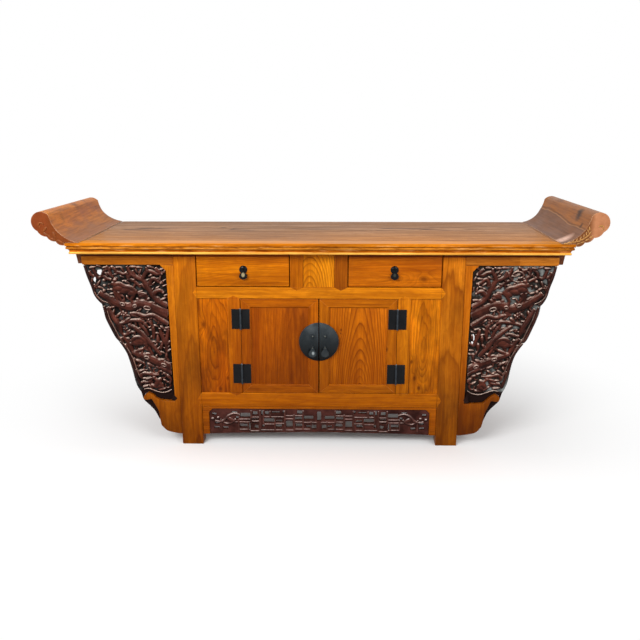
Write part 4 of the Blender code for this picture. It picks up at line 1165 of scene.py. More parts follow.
def between(table, value):
    """The table's value at a place between two of its rows."""
    for (a, low), (b, high) in zip(table, table[1:]):
        if value <= b:
            t = max(0.0, (value - a) / (b - a))
            return low + (high - low) * t
    return table[-1][1]


def spot(px, py, side=-1):
    """A place of the carving's drawing in metres, out from the middle and up from the floor."""
    t = (py - DRAWN_TOP) / DRAWN_HEIGHT
    out = (DRAWN_STILE + STILE_SHIFT * t - px) * (STEP_WIDTH + STEP_GROWTH * t)
    up = DRAWN_LEVEL - (py - DRAWN_TOP) * STEP_HEIGHT
    if side > 0:
        out *= 1 + between(FULLER, up) / between(WING_WIDTH, up)
    return STILE_EDGE + out, up


def on_wing(px, py, side):
    """A place of the drawing on one of the wings, as x and z."""
    out, up = spot(px, py, side)
    return side * out, up


def lay(relief, side, jitter, points, radii, **more):
    """A limb along the drawing's points, which stray a little."""
    route = []
    for point in points:
        x, z = on_wing(*point, side)
        route.append((x + side * jitter.uniform(-STRAY, STRAY), z + jitter.uniform(-STRAY, STRAY)))
    relief.limb(route, [radius * LIMB_UNIT for radius in radii], **more)


LIMBS = (
    # Upper branch and its forks
    (
        ((515, 120), (560, 205), (640, 245), (695, 270), (745, 345), (790, 425), (850, 490), (950, 545)),
        (2.5, 4, 5.5, 7, 7.5, 7.5, 8, 9),
    ),
    (((690, 250), (715, 205), (735, 165), (725, 130)), (5, 4.5, 4, 2.5)),
    (((735, 170), (790, 180), (840, 205), (900, 190)), (4, 4, 4, 2.5)),
    (((770, 330), (768, 290), (800, 245), (850, 285), (905, 300)), (5, 4, 3.5, 3.5, 2.5)),
    (((800, 420), (840, 380), (880, 385), (910, 405)), (5, 5, 4, 3)),
    (((820, 140), (850, 165), (885, 195)), (3, 4, 3)),
    (((560, 205), (530, 250), (515, 195)), (3.5, 3, 2.5)),
    (((640, 245), (600, 215), (575, 165)), (4, 3.5, 2.5)),
    (((520, 190), (480, 205), (430, 185), (380, 175)), (3, 3, 3, 2.5)),
    (((520, 255), (560, 265), (610, 290), (660, 350)), (3.5, 3.5, 3, 2.5)),
    # Great trunk and the one below it
    (
        (
            (210, 400), (290, 450), (370, 500), (450, 535), (550, 560), (640, 520), (710, 530), (800, 570),
            (955, 640),
        ),
        (8, 10, 11, 12, 12, 12, 13, 13.5, 14),
    ),
    (((540, 625), (620, 630), (700, 655), (790, 640), (870, 690), (955, 745)), (3, 4, 4.5, 5, 6, 7)),
    (((600, 545), (570, 500), (555, 470)), (5, 3.5, 2.5)),
    (((630, 520), (640, 480), (610, 470)), (4, 3, 2)),
    # Left twigs
    (((150, 150), (185, 215), (215, 245), (255, 225), (300, 250), (350, 268)), (3, 3.5, 3.5, 3, 3.5, 3)),
    (((255, 225), (262, 185), (300, 150)), (3, 3, 2.5)),
    (((110, 170), (130, 210), (165, 235)), (2.5, 3, 3)),
    (((345, 200), (330, 160), (360, 125)), (3, 3, 2.5)),
    # Middle branches
    (((420, 745), (480, 725), (560, 705), (640, 700), (690, 720)), (4, 4, 4, 5, 3)),
    (((520, 745), (580, 780), (650, 830), (720, 900), (790, 985), (870, 1085)), (3.5, 5, 6, 6, 5.5, 4)),
    (((640, 700), (660, 755), (700, 800), (740, 870)), (3.5, 3.5, 3.5, 3)),
    (((860, 780), (880, 850), (905, 920), (930, 965), (975, 930)), (3, 4, 4, 3.5, 2.5)),
    (((790, 770), (795, 840), (790, 910)), (3.5, 3.5, 2.5)),
    (((300, 560), (335, 620), (375, 690), (420, 760), (440, 840)), (4, 5, 6, 6, 4)),
    (((440, 840), (480, 860), (560, 835), (600, 845)), (3, 3.5, 3.5, 2.5)),
    (((460, 880), (510, 930), (540, 990), (570, 1050)), (4, 5, 5, 4)),
    (((560, 1060), (600, 1045), (660, 1020), (690, 1010)), (4, 4, 3.5, 2.5)),
    (((720, 985), (755, 1030), (780, 1085)), (3, 3, 2.5)),
    # Lower trunk and the one below it
    (
        ((560, 1050), (630, 1080), (710, 1110), (800, 1150), (900, 1190), (995, 1235)),
        (7, 9, 11, 12, 12, 12.5),
    ),
    (((860, 1215), (920, 1245), (995, 1290)), (4.5, 6, 7)),
    (((690, 1105), (720, 1075), (760, 1085)), (4.5, 3.5, 2.5)),
    (((650, 1335), (680, 1290), (740, 1300), (800, 1310), (850, 1305)), (3, 4, 4, 3.5, 2.5)),
    (((590, 1245), (610, 1270), (640, 1290)), (3, 3.5, 2.5)),
    (((665, 1385), (700, 1395), (750, 1380), (770, 1345)), (3, 3.5, 3, 2.5)),
)
# One more twig where the right wing has a hole
LEFT_TWIG = (((960, 790), (945, 850), (930, 960), (935, 1040)), (4.7, 4.7, 4.7, 4.2))
CURLS = (
    (600, 1190, 34, 3.4, 0.9, 0.5), (812, 1262, 40, 3.6, 0.95, 2.2), (935, 1430, 42, 3.8, 0.9, 1.2),
    (700, 1232, 28, 3.0, 0.8, 3.9), (895, 1330, 30, 3.0, 0.8, 0.8), (450, 690, 26, 2.8, 0.8, 2.0),
    (905, 700, 24, 2.8, 0.8, 4.0), (330, 330, 24, 2.6, 0.8, 5.0), (720, 1425, 26, 2.8, 0.8, 1.0),
)
BLOSSOMS = (
    (478, 640, 40), (745, 690, 44), (640, 705, 30), (855, 725, 28), (585, 880, 26), (690, 1300, 30),
    (755, 1400, 26), (170, 340, 30), (835, 395, 30), (300, 140, 26), (420, 150, 24), (890, 860, 26),
    (490, 800, 26),
)
BALLS = (
    (272, 270, 17), (275, 325, 18), (272, 380, 18), (880, 300, 14), (905, 400, 14), (895, 200, 13),
    (520, 900, 16), (860, 715, 14),
)
# Leaves: place, length in tenths of a mm, turn in degrees
LEAVES = (
    (150, 135, 90, 10), (215, 122, 70, -5), (285, 135, 80, 20), (380, 150, 100, -35), (430, 135, 80, 15),
    (590, 130, 100, 0), (650, 135, 80, 10), (770, 130, 90, -5), (345, 215, 110, -40), (410, 200, 90, 30),
    (470, 160, 80, -60), (590, 265, 90, 35), (650, 395, 90, 20), (700, 340, 100, -50), (600, 320, 80, 70),
    (860, 470, 90, -30), (905, 470, 90, 10), (690, 440, 120, -22), (735, 470, 80, -60), (360, 620, 90, 60),
    (420, 640, 100, 40), (520, 690, 110, 30), (590, 650, 100, -35), (770, 740, 110, -70),
    (710, 750, 100, -60), (660, 780, 90, 30), (820, 700, 90, -40), (900, 740, 90, -30), (870, 820, 100, 80),
    (940, 880, 90, 70), (840, 900, 110, 75), (820, 980, 100, 60), (880, 980, 110, 80), (930, 1090, 100, 75),
    (870, 1140, 110, 10), (610, 960, 100, -50), (500, 1000, 100, -60), (545, 930, 90, -40),
    (640, 1160, 110, -20), (590, 1145, 90, -60), (760, 1200, 110, -25), (850, 1230, 100, -20),
    (660, 1260, 90, 30), (740, 1350, 110, 20), (700, 1440, 100, 10), (800, 1440, 110, -40),
    (960, 1340, 110, -40), (970, 1380, 90, 60), (880, 1470, 100, 10), (645, 1325, 90, -60),
    (680, 1392, 90, 15), (920, 1300, 90, -20), (480, 480, 70, 70), (330, 520, 90, -50), (400, 790, 90, -60),
    (450, 920, 90, -55), (210, 300, 90, 60), (140, 270, 80, 80), (230, 350, 80, -20),
)
# Outline of the carving's outer rim and its inner bead, with cusps between the stretches
RIM = (
    ((62, 112), (98, 220), (142, 330), (180, 430), (240, 505), (262, 520)),
    ((262, 545), (290, 660), (330, 760), (395, 885), (425, 925)),
    ((430, 935), (470, 985), (520, 1070), (560, 1190), (600, 1320), (636, 1408), (656, 1440)),
)
BEAD = (
    ((150, 350), (190, 430), (250, 485), (312, 512)),
    ((290, 560), (320, 670), (365, 770), (425, 885), (450, 920)),
    ((470, 950), (520, 1030), (570, 1130), (605, 1230), (640, 1340)),
)
HOLES = (
    ((190, 165), (240, 160), (250, 205), (210, 222), (185, 200)),
    ((135, 220), (165, 215), (178, 265), (165, 305), (145, 280)),
)
RIGHT_HOLES = (((908, 870), (922, 835), (940, 850), (945, 925), (932, 985), (912, 955)),)
# A bird in a round cloud on the right wing, in mm from its middle
CLOUD_AT = (0.716, 0.660)
CLOUD = (
    (((-36, 12), (-33, -4), (-20, -17), (2, -23), (22, -18), (36, -6), (38, 8), (26, 19), (10, 22)), 2.6),
    (((-22, 8), (-10, 16), (6, 14), (16, 4), (10, -6), (-4, -8)), 3.6),
    (((-26, 0), (-12, -2), (2, 4), (14, 12)), 3.0),
    (((-8, -14), (6, -14), (22, -8)), 3.0),
)
RIM_TONE = {-1: (50, 25, 20), 1: (72, 40, 32)}
BEAD_TONE = {-1: (110, 70, 56), 1: (74, 40, 31)}
# Hollow knots on the trunks: place, half sizes in mm, turn in degrees
EYES = (
    (735, 562, 12, 6, 15), (470, 520, 8, 5, 20), (720, 1108, 9, 5, 20), (905, 1190, 9, 5, 20),
    (600, 541, 7, 5, -10),
)
RIDGE = ((682, 1474), (735, 1462), (800, 1486), (870, 1508), (940, 1500), (985, 1470))


# How far small leaves stay from limbs, other forms, animals, holes and each other
LIMB_GAP, FORM_GAP, BEAST_GAP, HOLE_GAP, FILL_GAP = 30, 40, 75, 62, 36
BEAST_SPOTS = ((430, 340), (510, 370), (580, 400), (690, 430), (640, 930), (600, 940), (840, 1400))
HOLE_SPOTS = ((217, 190), (157, 260), (920, 905))
# The field that they fill: rows, outer edge by row, inner edge and its shift, and a corner left out
FILL_TRIES = 2600
FILL_ROWS = (125, 1450)
FILL_OUTER = ((100, 130), (510, 300), (920, 470), (1450, 690))
FILL_INNER, FILL_SHIFT = 925, 55
FILL_CORNER = (700, 1380)
FILL_TURN = 1.4


def filling(jitter):
    """Places for small leaves where the drawing leaves the ground bare."""
    taken = [(px, py, LIMB_GAP) for points, _ in LIMBS for px, py in points]
    taken += [(px, py, FORM_GAP) for px, py, *_ in CURLS + BLOSSOMS + BALLS + LEAVES]
    taken += [(px, py, BEAST_GAP) for px, py in BEAST_SPOTS]
    taken += [(px, py, HOLE_GAP) for px, py in HOLE_SPOTS]
    found = []
    for _ in range(FILL_TRIES):
        py = jitter.uniform(*FILL_ROWS)
        inner = FILL_INNER + FILL_SHIFT * (py - DRAWN_TOP) / DRAWN_HEIGHT
        px = jitter.uniform(between(FILL_OUTER, py), inner)
        if px < FILL_CORNER[0] and py > FILL_CORNER[1]:
            continue
        if all(hypot(px - a, py - b) > gap for a, b, gap in taken):
            found.append((px, py, jitter.uniform(-FILL_TURN, FILL_TURN)))
            taken.append((px, py, FILL_GAP))
    return found


# Animals: body, back, head and legs. Body and head are rows of eggs: place, half sizes in mm, turn in
# degrees and height in mm
BEASTS = (
    # Upper animal
    (
        ((430, 350, 24, 15, 8, 11), (510, 372, 30, 15, 12, 11), (575, 400, 20, 14, 18, 10)),
        (((370, 330), (430, 300), (500, 330), (560, 340), (610, 385)), (5, 6, 6, 6, 5)),
        ((388, 268, 9, 7, 30, 7), (370, 305, 11, 9, 60, 8), (408, 245, 5, 3, -50, 4)),
        (
            (((430, 390), (425, 440), (450, 480), (475, 520)), (6, 5, 4, 3.5)),
            (((590, 410), (575, 450), (560, 480), (590, 535)), (6, 5, 4, 3.5)),
            (((385, 385), (395, 440), (410, 490)), (5, 4, 3.5)),
        ),
    ),
    # Its young one
    (
        ((685, 430, 18, 10, 20, 8),),
        (((640, 415), (690, 410), (735, 450)), (4, 4, 3)),
        ((742, 470, 8, 6, 40, 6),),
        ((((650, 440), (645, 470)), (3, 2.5)), (((710, 455), (715, 490)), (3, 2.5))),
    ),
    # Round-backed one below
    (
        ((640, 930, 27, 19, 4, 12), (600, 950, 18, 15, -10, 10)),
        (((560, 930), (590, 890), (640, 880), (690, 905), (720, 955)), (5, 6, 6, 6, 5)),
        ((548, 955, 10, 8, 20, 7),),
        ((((700, 950), (715, 985), (690, 1005)), (6, 5, 3.5)), (((610, 985), (600, 1020)), (4.5, 3.5))),
    ),
    # Small one at the foot
    (
        ((835, 1390, 22, 11, 55, 9), (860, 1430, 14, 10, 40, 8)),
        (((790, 1340), (820, 1360), (860, 1400), (890, 1450)), (4, 5, 5, 4)),
        ((792, 1335, 9, 7, 20, 7),),
        ((((820, 1430), (800, 1460)), (4, 3)),),
    ),
)


def make_beast(relief, side, jitter, body, back, head, legs):
    def eggs(forms, lift):
        for px, py, long, wide, turn, high in forms:
            x, z = on_wing(px, py, side)
            relief.blob(x, z, long * MM, wide * MM, -side * radians(turn), height=high * MM, lift=lift)

    eggs(body, 0.5)
    lay(relief, side, jitter, *back, lift=1.1)
    eggs(head, 0.75)
    for leg in legs:
        lay(relief, side, jitter, *leg, lift=0.9)


# Points of the lower ridge over the stile, out from the middle and up
RIDGE_TIP = {-1: ((0.5519, 0.2029), (0.5430, 0.1939), (0.5355, 0.1850), (0.5440, 0.1758), (0.5557, 0.1768)),
             1: ((0.5551, 0.2082), (0.5487, 0.1968), (0.5415, 0.1848), (0.5500, 0.1728), (0.5626, 0.1719))}


def cut_back(node, ground_y):
    """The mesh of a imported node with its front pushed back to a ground."""
    mesh = nodes[node].data.copy()
    for vert in mesh.vertices:
        vert.co.y = max(vert.co.y, ground_y)
    bm = bmesh.new()
    bm.from_mesh(mesh)
    bmesh.ops.remove_doubles(bm, verts=bm.verts, dist=BASE_WELD)
    bmesh.ops.dissolve_degenerate(bm, edges=bm.edges, dist=SLIVER)
    bm.to_mesh(mesh)
    bm.free()
    return mesh


def carving_base(side, node, ground_y):
    """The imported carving's ground, with see-through holes."""
    base = cut_back(node, ground_y)
    for hole in HOLES if side < 0 else RIGHT_HOLES:
        loop = [(side * spot(*point)[0], spot(*point)[1]) for point in hole]
        base = less(base, prism([loop], ground_y - HOLE_FRONT, ground_y + HOLE_BEHIND))
    return base


def draw_carving(relief, side, jitter):
    for points, radii in LIMBS:
        stout = [radius + STOUTER if radius < STOUT_BELOW else radius for radius in radii]
        lift = THIN_LIFT if max(radii) < TRUNK else TRUNK_LIFT
        lay(relief, side, jitter, points, stout, lift=lift, flat=LIMB_FLAT)
    if side < 0:
        lay(relief, side, jitter, *LEFT_TWIG, lift=THIN_LIFT, flat=LIMB_FLAT)
    for px, py, wide, tall, turn in EYES:
        x, z = spot(px, py, side)
        c, s = cos(radians(turn)), sin(radians(turn))
        steps = range(2 * EYE_STEPS + 1)
        ring = [(wide * cos(pi * i / EYE_STEPS), tall * sin(pi * i / EYE_STEPS)) for i in steps]
        places = [(side * (x + (c * u - s * v) * MM), z + (s * u + c * v) * MM) for u, v in ring]
        relief.limb(places, [EYE_RADIUS] * len(ring), lift=EYE_LIFT, flat=1.0, steps=2, around=7)
    for px, py, radius, thick, turns, start in CURLS:
        first = start if side > 0 else pi - start
        relief.curl(*on_wing(px, py, side), radius * CURL_UNIT, thick * MM, side * turns, first)
    for px, py, radius in BLOSSOMS:
        relief.blossom(*on_wing(px, py, side), radius * BLOSSOM_UNIT, start=jitter.uniform(0, 1))
    for px, py, radius in BALLS:
        long, wide, high = (radius * unit for unit in BALL_UNITS)
        relief.blob(*on_wing(px, py, side), long, wide, 0, height=high, lift=0.9)
    for px, py, long, turn in LEAVES:
        stray = jitter.uniform(-LEAF_STRAY, LEAF_STRAY)
        relief.leaf(*on_wing(px, py, side), long * LEAF_UNIT, -side * radians(turn) + stray, height=0.6)
    for px, py, turn in filling(jitter):
        relief.leaf(*on_wing(px, py, side), jitter.uniform(*FILL_LONG), -side * turn, height=0.7)
    if side > 0:
        for points, radius in CLOUD:
            places = [(CLOUD_AT[0] + u * MM, CLOUD_AT[1] + v * MM) for u, v in points]
            relief.limb(places, [radius * MM] * len(places), lift=CLOUD_LIFT)
    for animal in BEASTS:
        make_beast(relief, side, jitter, *animal)


def make_ridge_tip(word, side, ground_y):
    stile_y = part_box(f"wing_bracket_{word}")[0].y
    corners = [(side * x, z) for x, z in RIDGE_TIP[side]]
    tip = new_object(f"ridge_tip_{word}", prism([corners], stile_y - TIP_PROUD, stile_y + TIP_ROOT))
    dark = linear(*CARVED_DARK)
    finish = carved_wood(
        f"ridge_tip_{word}", ground_y, RELIEF_DEPTH, dark, 27 + side, 0.0, (36, 17, 13), (44, 21, 16),
    )
    add_piece(tip, finish)


def make_carving(word, side, ground):
    node = f"wing_carving_{word}"
    ground_y = FRONT_Y + GROUND_DEPTH
    base = carving_base(side, node, ground_y)
    near, far = sorted((side * (STILE_EDGE + STILE_GAP), side * FORMS_OUT))
    low = (near, FRONT_Y + FACE_GAP, FORMS_DOWN)
    limits = (low, (far, ground_y + FORMS_BEHIND, CARVING_TOP - TOP_GAP))
    rim = [spot(*point, side) for stretch in RIM for point in stretch]
    relief = Relief(ground_y, limits, sorted((up, out - RIM_GAP) for out, up in rim))
    jitter = Random(31 + side)
    draw_carving(relief, side, jitter)
    piece = relief.piece(f"carved_wing_{word}", base, CARVING_VOXEL)
    finish = carved_wood(f"carving_{word}", ground_y, RELIEF_DEPTH, ground, 7 + side, RIDGE_Z, side=side)
    adopt(piece, node, finish)
    make_ridge_tip(word, side, ground_y)
    # Rim and beads, each in a tone of its own
    edges = (("rim", RIM, 4.4, 0.7, RIM_TONE[side]), ("bead", BEAD + (RIDGE,), 1.7, 3.9, BEAD_TONE[side]))
    for part, stretches, radius, lift, tone in edges:
        relief = Relief(ground_y, limits)
        for stretch in stretches:
            thick = [radius * (0.75 if i in (0, len(stretch) - 1) else 1.0) for i in range(len(stretch))]
            lay(relief, side, jitter, stretch, thick, lift=lift)
        name = f"carved_{part}_{word}"
        finish = carved_wood(name, ground_y, RELIEF_DEPTH, ground, 17 + side, 0.0, tone)
        add_piece(relief.piece(name, None, EDGE_VOXEL), finish)


# Grey grounds, darker on the left and paler on the right: painted shade and light that stand in for the space
# seen through the openwork
make_carving("left", -1, linear(68, 70, 69))
make_carving("right", 1, linear(138, 142, 140))


# Rounded crests of the fret's bars, the same on both halves, in mm out from its middle and up from its foot:
# level ones (from, to, height), then upright ones (out, from, to)
LEVEL_CRESTS = (
    (8, 60, 48), (60, 96, 50), (96, 130, 62), (96, 130, 16), (132, 212, 70), (132, 168, 43), (140, 222, 16),
    (170, 212, 40), (224, 262, 68), (224, 262, 52), (224, 262, 12), (262, 306, 60), (262, 306, 48),
    (262, 306, 18), (306, 345, 48), (60, 128, 75), (30, 96, 20),
)
UPRIGHT_CRESTS = (
    (30, 14, 52), (61, 16, 96), (95, 16, 80), (130, 16, 96), (186, 66, 94), (168, 20, 66), (211, 40, 96),
    (225, 14, 96), (258, 40, 96), (306, 16, 60), (270, 20, 46), (374, 12, 60),
)
# The scrolling stems at either end of the fret, with their radii, then its buds: place, half sizes, turn
STEMS = (
    (
        ((300, 78), (322, 84), (345, 74), (362, 56), (380, 50), (396, 54)),
        (0.003, 0.004, 0.0045, 0.0045, 0.0035, 0.003),
    ),
    (((372, 52), (352, 42), (330, 48), (318, 62)), (0.003, 0.0035, 0.004, 0.003)),
)
BUDS = ((0.338, 0.058, 0.016, 0.009, 0.6), (0.405, 0.062, 0.006, 0.005, 0), (0.384, 0.066, 0.006, 0.005, 0))
FRET_VOXEL = 0.0014
CREST_RADIUS = 0.0025
BUD_HEIGHT = 0.006
FRET_LIFT = 0.2
# The fret's ground lies a little behind its packed face, and its crests stand proud of that
FRET_SUNK, FRET_PROUD, FRET_DEPTH = 0.001, 0.004, 0.0045


def make_fret():
    low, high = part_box("apron_fretwork")
    base = low.z
    front = low.y + FRET_SUNK
    relief = Relief(front, ((low.x, low.y - FRET_PROUD, base), tuple(high)))
    bars = [((near, height), (far, height)) for near, far, height in LEVEL_CRESTS]
    bars += [((out, lower), (out, upper)) for out, lower, upper in UPRIGHT_CRESTS]
    strokes = [(bar, (CREST_RADIUS, CREST_RADIUS), 0.9) for bar in bars]
    strokes += [(points, radii, 1.0) for points, radii in STEMS]
    for way in (-1, 1):
        for points, radii, flat in strokes:
            route = [(way * u * MM, base + v * MM) for u, v in points]
            relief.limb(route, radii, lift=FRET_LIFT, flat=flat)
        for out, up, long, wide, turn in BUDS:
            relief.blob(way * out, base + up, long, wide, way * turn, height=BUD_HEIGHT, lift=FRET_LIFT)
    piece = relief.piece("carved_fret", cut_back("apron_fretwork", front), FRET_VOXEL)
    finish = carved_wood(
        "fret_carving", front, FRET_DEPTH, linear(80, 43, 37), 9, tone=(92, 52, 44),
        crest_highlight=(222, 204, 196),
    )
    adopt(piece, "apron_fretwork", finish)


make_fret()

# Everted ends, in metres out from the middle and up from the floor
ROLL = (0.959, 0.860)
ROLL_RADIUS = 0.036
TOP_END = 0.8863
SEAT = (0.8373, 0.7876)
# The sweep up to the roll, the angles where the roll starts and how far it turns, and the lobes under it
SWEEP_START_LIFT = 0.0008
SWEEP_BEND = (0.885, 0.7973)
SWEEP_EASE = (0.0074, 0.049)
ROLL_START, ROLL_TURN = 140, 202
LOBE_FOOT = (TOP_END + 0.0004, 0.7787)
LOBE_BEND = (0.047, 0.018)
LOBE_COUNT = 3
LOBE_BULGE = 0.0055
SWEEP_STEPS, ROLL_STEPS, LOBE_STEPS = 22, 32, 8
# How far in or down the back end of each roll leans
LEAN = {-1: (0.0, -0.009), 1: (-0.012, -0.001)}


def scroll_line():
    """The end's outline from the foot of its sweep over the roll and along the lobes."""
    start = radians(ROLL_START)
    landing = (ROLL[0] + ROLL_RADIUS * cos(start), ROLL[1] + ROLL_RADIUS * sin(start))
    ease = (landing[0] - SWEEP_EASE[0], landing[1] - SWEEP_EASE[1])
    four = ((SEAT[0], SEAT[1] + SWEEP_START_LIFT), SWEEP_BEND, ease, landing)
    line = []
    for i in range(SWEEP_STEPS):
        t = i / SWEEP_STEPS
        s = 1 - t
        line.append(
            tuple(s**3 * a + 3 * s * s * t * b + 3 * s * t * t * c + t**3 * d for a, b, c, d in zip(*four))
        )
    for i in range(ROLL_STEPS + 1):
        angle = radians(ROLL_START - ROLL_TURN * i / ROLL_STEPS)
        line.append((ROLL[0] + ROLL_RADIUS * cos(angle), ROLL[1] + ROLL_RADIUS * sin(angle)))
    last, foot = line[-1], LOBE_FOOT
    bend = (last[0] - LOBE_BEND[0], foot[1] + LOBE_BEND[1])
    notches = []
    for i in range(LOBE_COUNT + 1):
        t = i / LOBE_COUNT
        s = 1 - t
        notches.append(tuple(s * s * a + 2 * t * s * b + t * t * c for a, b, c in zip(last, bend, foot)))
    for a, b in zip(notches, notches[1:]):
        run, rise = b[0] - a[0], b[1] - a[1]
        size = hypot(run, rise)
        for i in range(1, LOBE_STEPS + 1):
            t = i / LOBE_STEPS
            swell = LOBE_BULGE * sin(pi * t) ** 0.8
            line.append((a[0] + run * t - swell * rise / size, a[1] + rise * t + swell * run / size))
    return line + [(TOP_END, SEAT[1]), SEAT]


def scroll_wood(word, side):
    """Worn brown wood: greyer at the foot, worn pale on its arris, with an end face of its own tone, and on
    the right end a painted reflection near the front of its sweep.
    """
    tree = Tree(f"scroll_wood_{word}")
    place = tree.place()
    x, y, z = tree.split(place)
    out = tree.times(x, side)
    moved = tree.vector("ADD", place, (3.1 * side, 1.7, 0.4))
    along = tree.vector("MULTIPLY", moved, (1.0, 0.05, 1.0))
    streaks = tree.noise(along, 150.0, 4.0, 0.6)
    fine = tree.noise(along, 420.0, 3.0, 0.6)
    cloud = tree.noise(tree.vector("MULTIPLY", moved, (1.0, 0.4, 1.0)), 16.0, 4.0, 0.6)
    if side < 0:
        body, pale, foot = (172, 94, 32), (212, 130, 52), (140, 92, 60)
    else:
        body, pale, foot = (142, 86, 36), (170, 106, 50), (112, 78, 60)
    colour = tree.mix(tree.spread(cloud, 0.32, 0.68), linear(*body), linear(*pale))
    colour = tree.mix(tree.spread(streaks, 0.45, 0.78, 0.0, 0.65), colour, linear(84, 42, 18))
    colour = tree.mix(tree.spread(fine, 0.5, 0.8, 0.0, 0.35), colour, linear(60, 30, 14))
    ragged = tree.math("MULTIPLY_ADD", tree.minus(cloud, 0.5), 0.05, z)
    if side < 0:
        low = tree.spread(ragged, 0.803, 0.836, 1.0, 0.0)
        spots = ((0.944, 0.02, 0.030, 0.55), (0.950, 0.14, 0.022, 0.45), (0.926, -0.16, 0.018, 0.30))
    else:
        wave = tree.times(tree.math("SINE", tree.times(y, 15.0)), 0.0022)
        wave = tree.plus(wave, tree.around(tree.noise(moved, 14.0, 1.0), 0.006))
        seam = tree.minus(tree.minus(out, 0.911), wave)
        low = tree.spread(seam, -0.002, 0.002, 1.0, 0.0)
        spots = ((0.930, -0.150, 0.026, 0.85), (0.916, -0.215, 0.012, 0.8), (0.945, 0.12, 0.03, 0.35))
    colour = tree.mix(
        tree.times(low, 0.8), colour,
        tree.mix(tree.spread(streaks, 0.4, 0.8), linear(*foot), shaded(linear(*foot), 0.6, 0.55, 0.5)),
    )
    if side > 0:
        line = tree.times(tree.spread(seam, -0.0022, -0.0012), tree.spread(seam, -0.0006, 0.0004, 1.0, 0.0))
        colour = tree.mix(tree.times(line, 0.3), colour, linear(206, 158, 108))
        under = tree.times(tree.spread(seam, 0.0005, 0.0015), tree.spread(seam, 0.002, 0.0045, 1.0, 0.0))
        colour = tree.mix(tree.times(under, 0.5), colour, linear(52, 26, 12))
        # A painted reflection: a pale patch near the front of the right sweep
        near = tree.vector("LENGTH", tree.away(place, (0.856, -0.214, 0.80), (24.0, 26.0, 6.0)))
        reflection_patch = tree.times(tree.spread(near, 0.35, 1.0, 1.0, 0.0), tree.spread(streaks, 0.25, 0.5, 0.5, 1.0))
        colour = tree.mix(tree.times(reflection_patch, 0.9), colour, linear(226, 184, 164))
    for spot_x, spot_y, size, share in spots:
        away = tree.away(tree.join(out, y, 0.0), (spot_x, spot_y, 0.0), (2.2 / size, 1.0 / size, 0.0))
        away = tree.math("MULTIPLY_ADD", tree.minus(cloud, 0.5), 1.4, tree.vector("LENGTH", away))
        colour = tree.mix(tree.spread(away, 0.3, 1.2, share, 0.0), colour, linear(48, 30, 20))
    face = linear(138, 66, 28) if side < 0 else linear(196, 132, 92)
    patches = tree.spread(tree.noise(moved, 30.0, 4.0, 0.6), 0.3, 0.7)
    face_colour = tree.mix(patches, shaded(face, 0.72, 0.66, 0.6), face)
    lower = tree.spread(out, 0.925, 0.945, 1.0, 0.0)
    face_colour = tree.mix(tree.times(lower, 0.85 if side > 0 else 0.4), face_colour, linear(104, 56, 18))
    facing = tree.split(tree.geometry()["Normal"])[1]
    colour = tree.mix(tree.spread(facing, -0.85, -0.6, 1.0, 0.0), colour, face_colour)
    worn = tree.times(
        tree.edges(0.0035, 0.2), tree.spread(tree.noise(moved, 30.0, 2.0), 0.30, 0.60, 0.15, 0.9),
    )
    colour = tree.mix(worn, colour, linear(232, 186, 148))
    fibres = tree.bump(tree.plus(tree.times(streaks, -0.6), tree.times(fine, -0.3)), 0.0004, 0.8)
    return tree.finish(
        colour, tree.spread(cloud, 0.3, 0.7, 0.34, 0.52), 0.10, tree.bump(cloud, 0.003, 0.5, fibres),
    )


# Leaf carving on the front of the lobes: out, up, length, and turn in degrees
LEFT_LEAVES = (
    (0.949, 0.834, 0.011, 130), (0.946, 0.818, 0.010, 30), (0.918, 0.815, 0.012, 75),
    (0.921, 0.800, 0.010, 25), (0.934, 0.808, 0.009, 60), (0.900, 0.793, 0.010, 30),
)
RIGHT_LEAVES = (
    (0.850, 0.7895, 0.009, 0), (0.858, 0.7915, 0.008, 50), (0.866, 0.7925, 0.009, 5),
    (0.873, 0.7970, 0.008, 60), (0.880, 0.7945, 0.009, 10), (0.887, 0.8020, 0.008, 65),
    (0.893, 0.7975, 0.009, 15), (0.899, 0.8085, 0.008, 70), (0.905, 0.8035, 0.009, 20),
    (0.909, 0.8160, 0.008, 80), (0.915, 0.8095, 0.009, 30), (0.917, 0.8240, 0.008, 95),
    (0.923, 0.8165, 0.009, 40), (0.922, 0.8330, 0.008, 105), (0.929, 0.8255, 0.009, 60),
    (0.926, 0.8420, 0.009, 100), (0.908, 0.7945, 0.009, 20), (0.922, 0.8030, 0.009, 30),
    (0.935, 0.8130, 0.009, 40), (0.895, 0.7895, 0.008, 20),
)
# By side: the curl on the roll, the leaves and how much they are stretched, the carving's tone and the tone
# of its painted crest highlight
ROLL_CARVING = {
    -1: ((-0.962, 0.848, 0.011, 0.0032, 0.6, 0.4, 0.4), LEFT_LEAVES, 1.1, (150, 80, 32), (186, 116, 62)),
    1: ((0.966, 0.842, 0.010, 0.0028, -0.6, 2.6, 0.4), RIGHT_LEAVES, 0.8, (206, 150, 84), (236, 206, 156)),
}
STATIONS = 13
LEAN_FROM, LEAN_OVER = 0.79, 0.05
ROLL_VOXEL = 0.0009
# Rounding of the roll's arris, with its steps and the angle in degrees from which an edge is rounded
ARRIS = (0.0022, 3, 48)
# The leaves' ground behind the roll's face, and the room that they have
LEAF_SUNK = 0.0004
LEAF_ROOM = ((-1.1, -0.004, 0.7), (1.1, 0.01, 1.0))


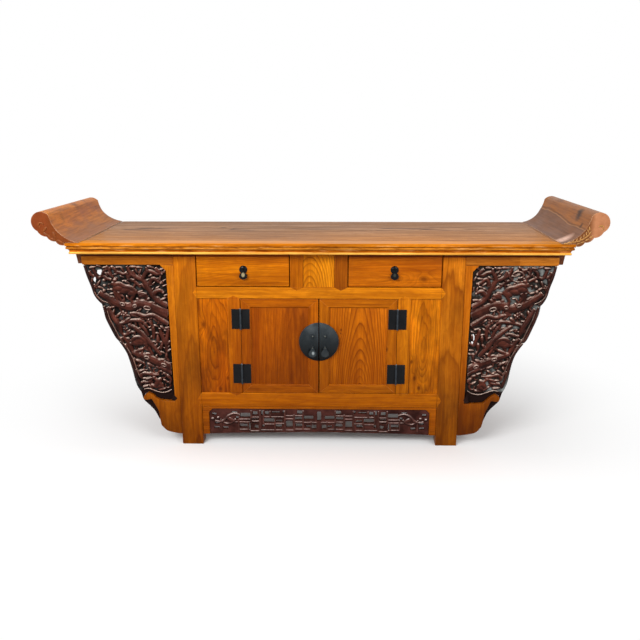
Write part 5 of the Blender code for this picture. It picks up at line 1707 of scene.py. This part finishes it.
def make_scroll(word, side):
    low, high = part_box(f"scroll_end_{word}")
    line = scroll_line()
    bm = bmesh.new()
    rings = []
    for i in range(STATIONS):
        t = i / (STATIONS - 1)
        ring = []
        for out, up in line:
            share = min(1.0, max(0.0, (up - LEAN_FROM) / LEAN_OVER)) * t
            lean = [amount * share for amount in LEAN[side]]
            ring.append(bm.verts.new((side * (out + lean[0]), low.y + (high.y - low.y) * t, up + lean[1])))
        rings.append(ring)
    roll = rounded(f"scroll_{word}", skinned(bm, rings, "scroll"), *ARRIS)
    adopt(roll, f"scroll_end_{word}", scroll_wood(word, side))
    ground = low.y + LEAF_SUNK
    relief = Relief(ground, [(x, ground + y, z) for x, y, z in LEAF_ROOM])
    curl, leaves, stretch, tone, crest_highlight = ROLL_CARVING[side]
    relief.curl(*curl)
    for out, up, long, turn in leaves:
        relief.leaf(side * out, up, long * stretch, side * radians(turn), height=0.34)
    carved = relief.piece(f"scroll_carving_{word}", None, ROLL_VOXEL)
    add_piece(carved, gilt_wood(f"scroll_leaf_{word}", tone, crest_highlight))


def gilt_wood(name, tone, crest_highlight):
    """The rolls' leaf carving, with a painted highlight on its crests and painted shade in its hollows."""
    tree = Tree(name)
    place = tree.place()
    cloud = tree.noise(place, 60.0, 4.0, 0.6)
    crest = tree.geometry()["Pointiness"]
    colour = tree.mix(tree.spread(cloud, 0.3, 0.7), shaded(linear(*tone), 0.55, 0.5, 0.4), linear(*tone))
    colour = tree.mix(tree.spread(crest, 0.53, 0.60, 0.0, 0.8), colour, linear(*crest_highlight))
    colour = tree.mix(tree.spread(crest, 0.40, 0.48, 0.6, 0.0), colour, linear(60, 30, 8))
    return tree.finish(colour, tree.spread(cloud, 0.3, 0.7, 0.3, 0.5), 0.2)


for word, side in SIDES:
    make_scroll(word, side)


make_divider()
# Pointed shoulders of the door posts and of the front rails
POST_POINT = 0.011
RAIL_POINT = 0.014
RAIL_POINT_INSET = 0.001
for word, side in SIDES:
    post_low, post_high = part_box(f"door_post_{word}")
    grain = nodes_finish[f"door_post_{word}"]
    middle = (post_low.x + post_high.x) / 2
    for end, level, point in (("upper", post_high.z, POST_POINT), ("lower", post_low.z, -POST_POINT)):
        corners = [(post_low.x, level), (post_high.x, level), (middle, level + point)]
        make_shoulder(f"post_point_{end}_{word}", grain, corners)
    for rail in ("drawer_rail", "bottom_rail"):
        rail_low, rail_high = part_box(rail)
        corners = [
            (side * LEG_INNER, rail_low.z + RAIL_POINT_INSET),
            (side * LEG_INNER, rail_high.z - RAIL_POINT_INSET),
        ]
        corners.append((side * (LEG_INNER + RAIL_POINT), (rail_low.z + rail_high.z) / 2))
        make_shoulder(f"{rail}_point_{word}", nodes_finish[rail], corners)


scene.view_settings.view_transform = "Standard"
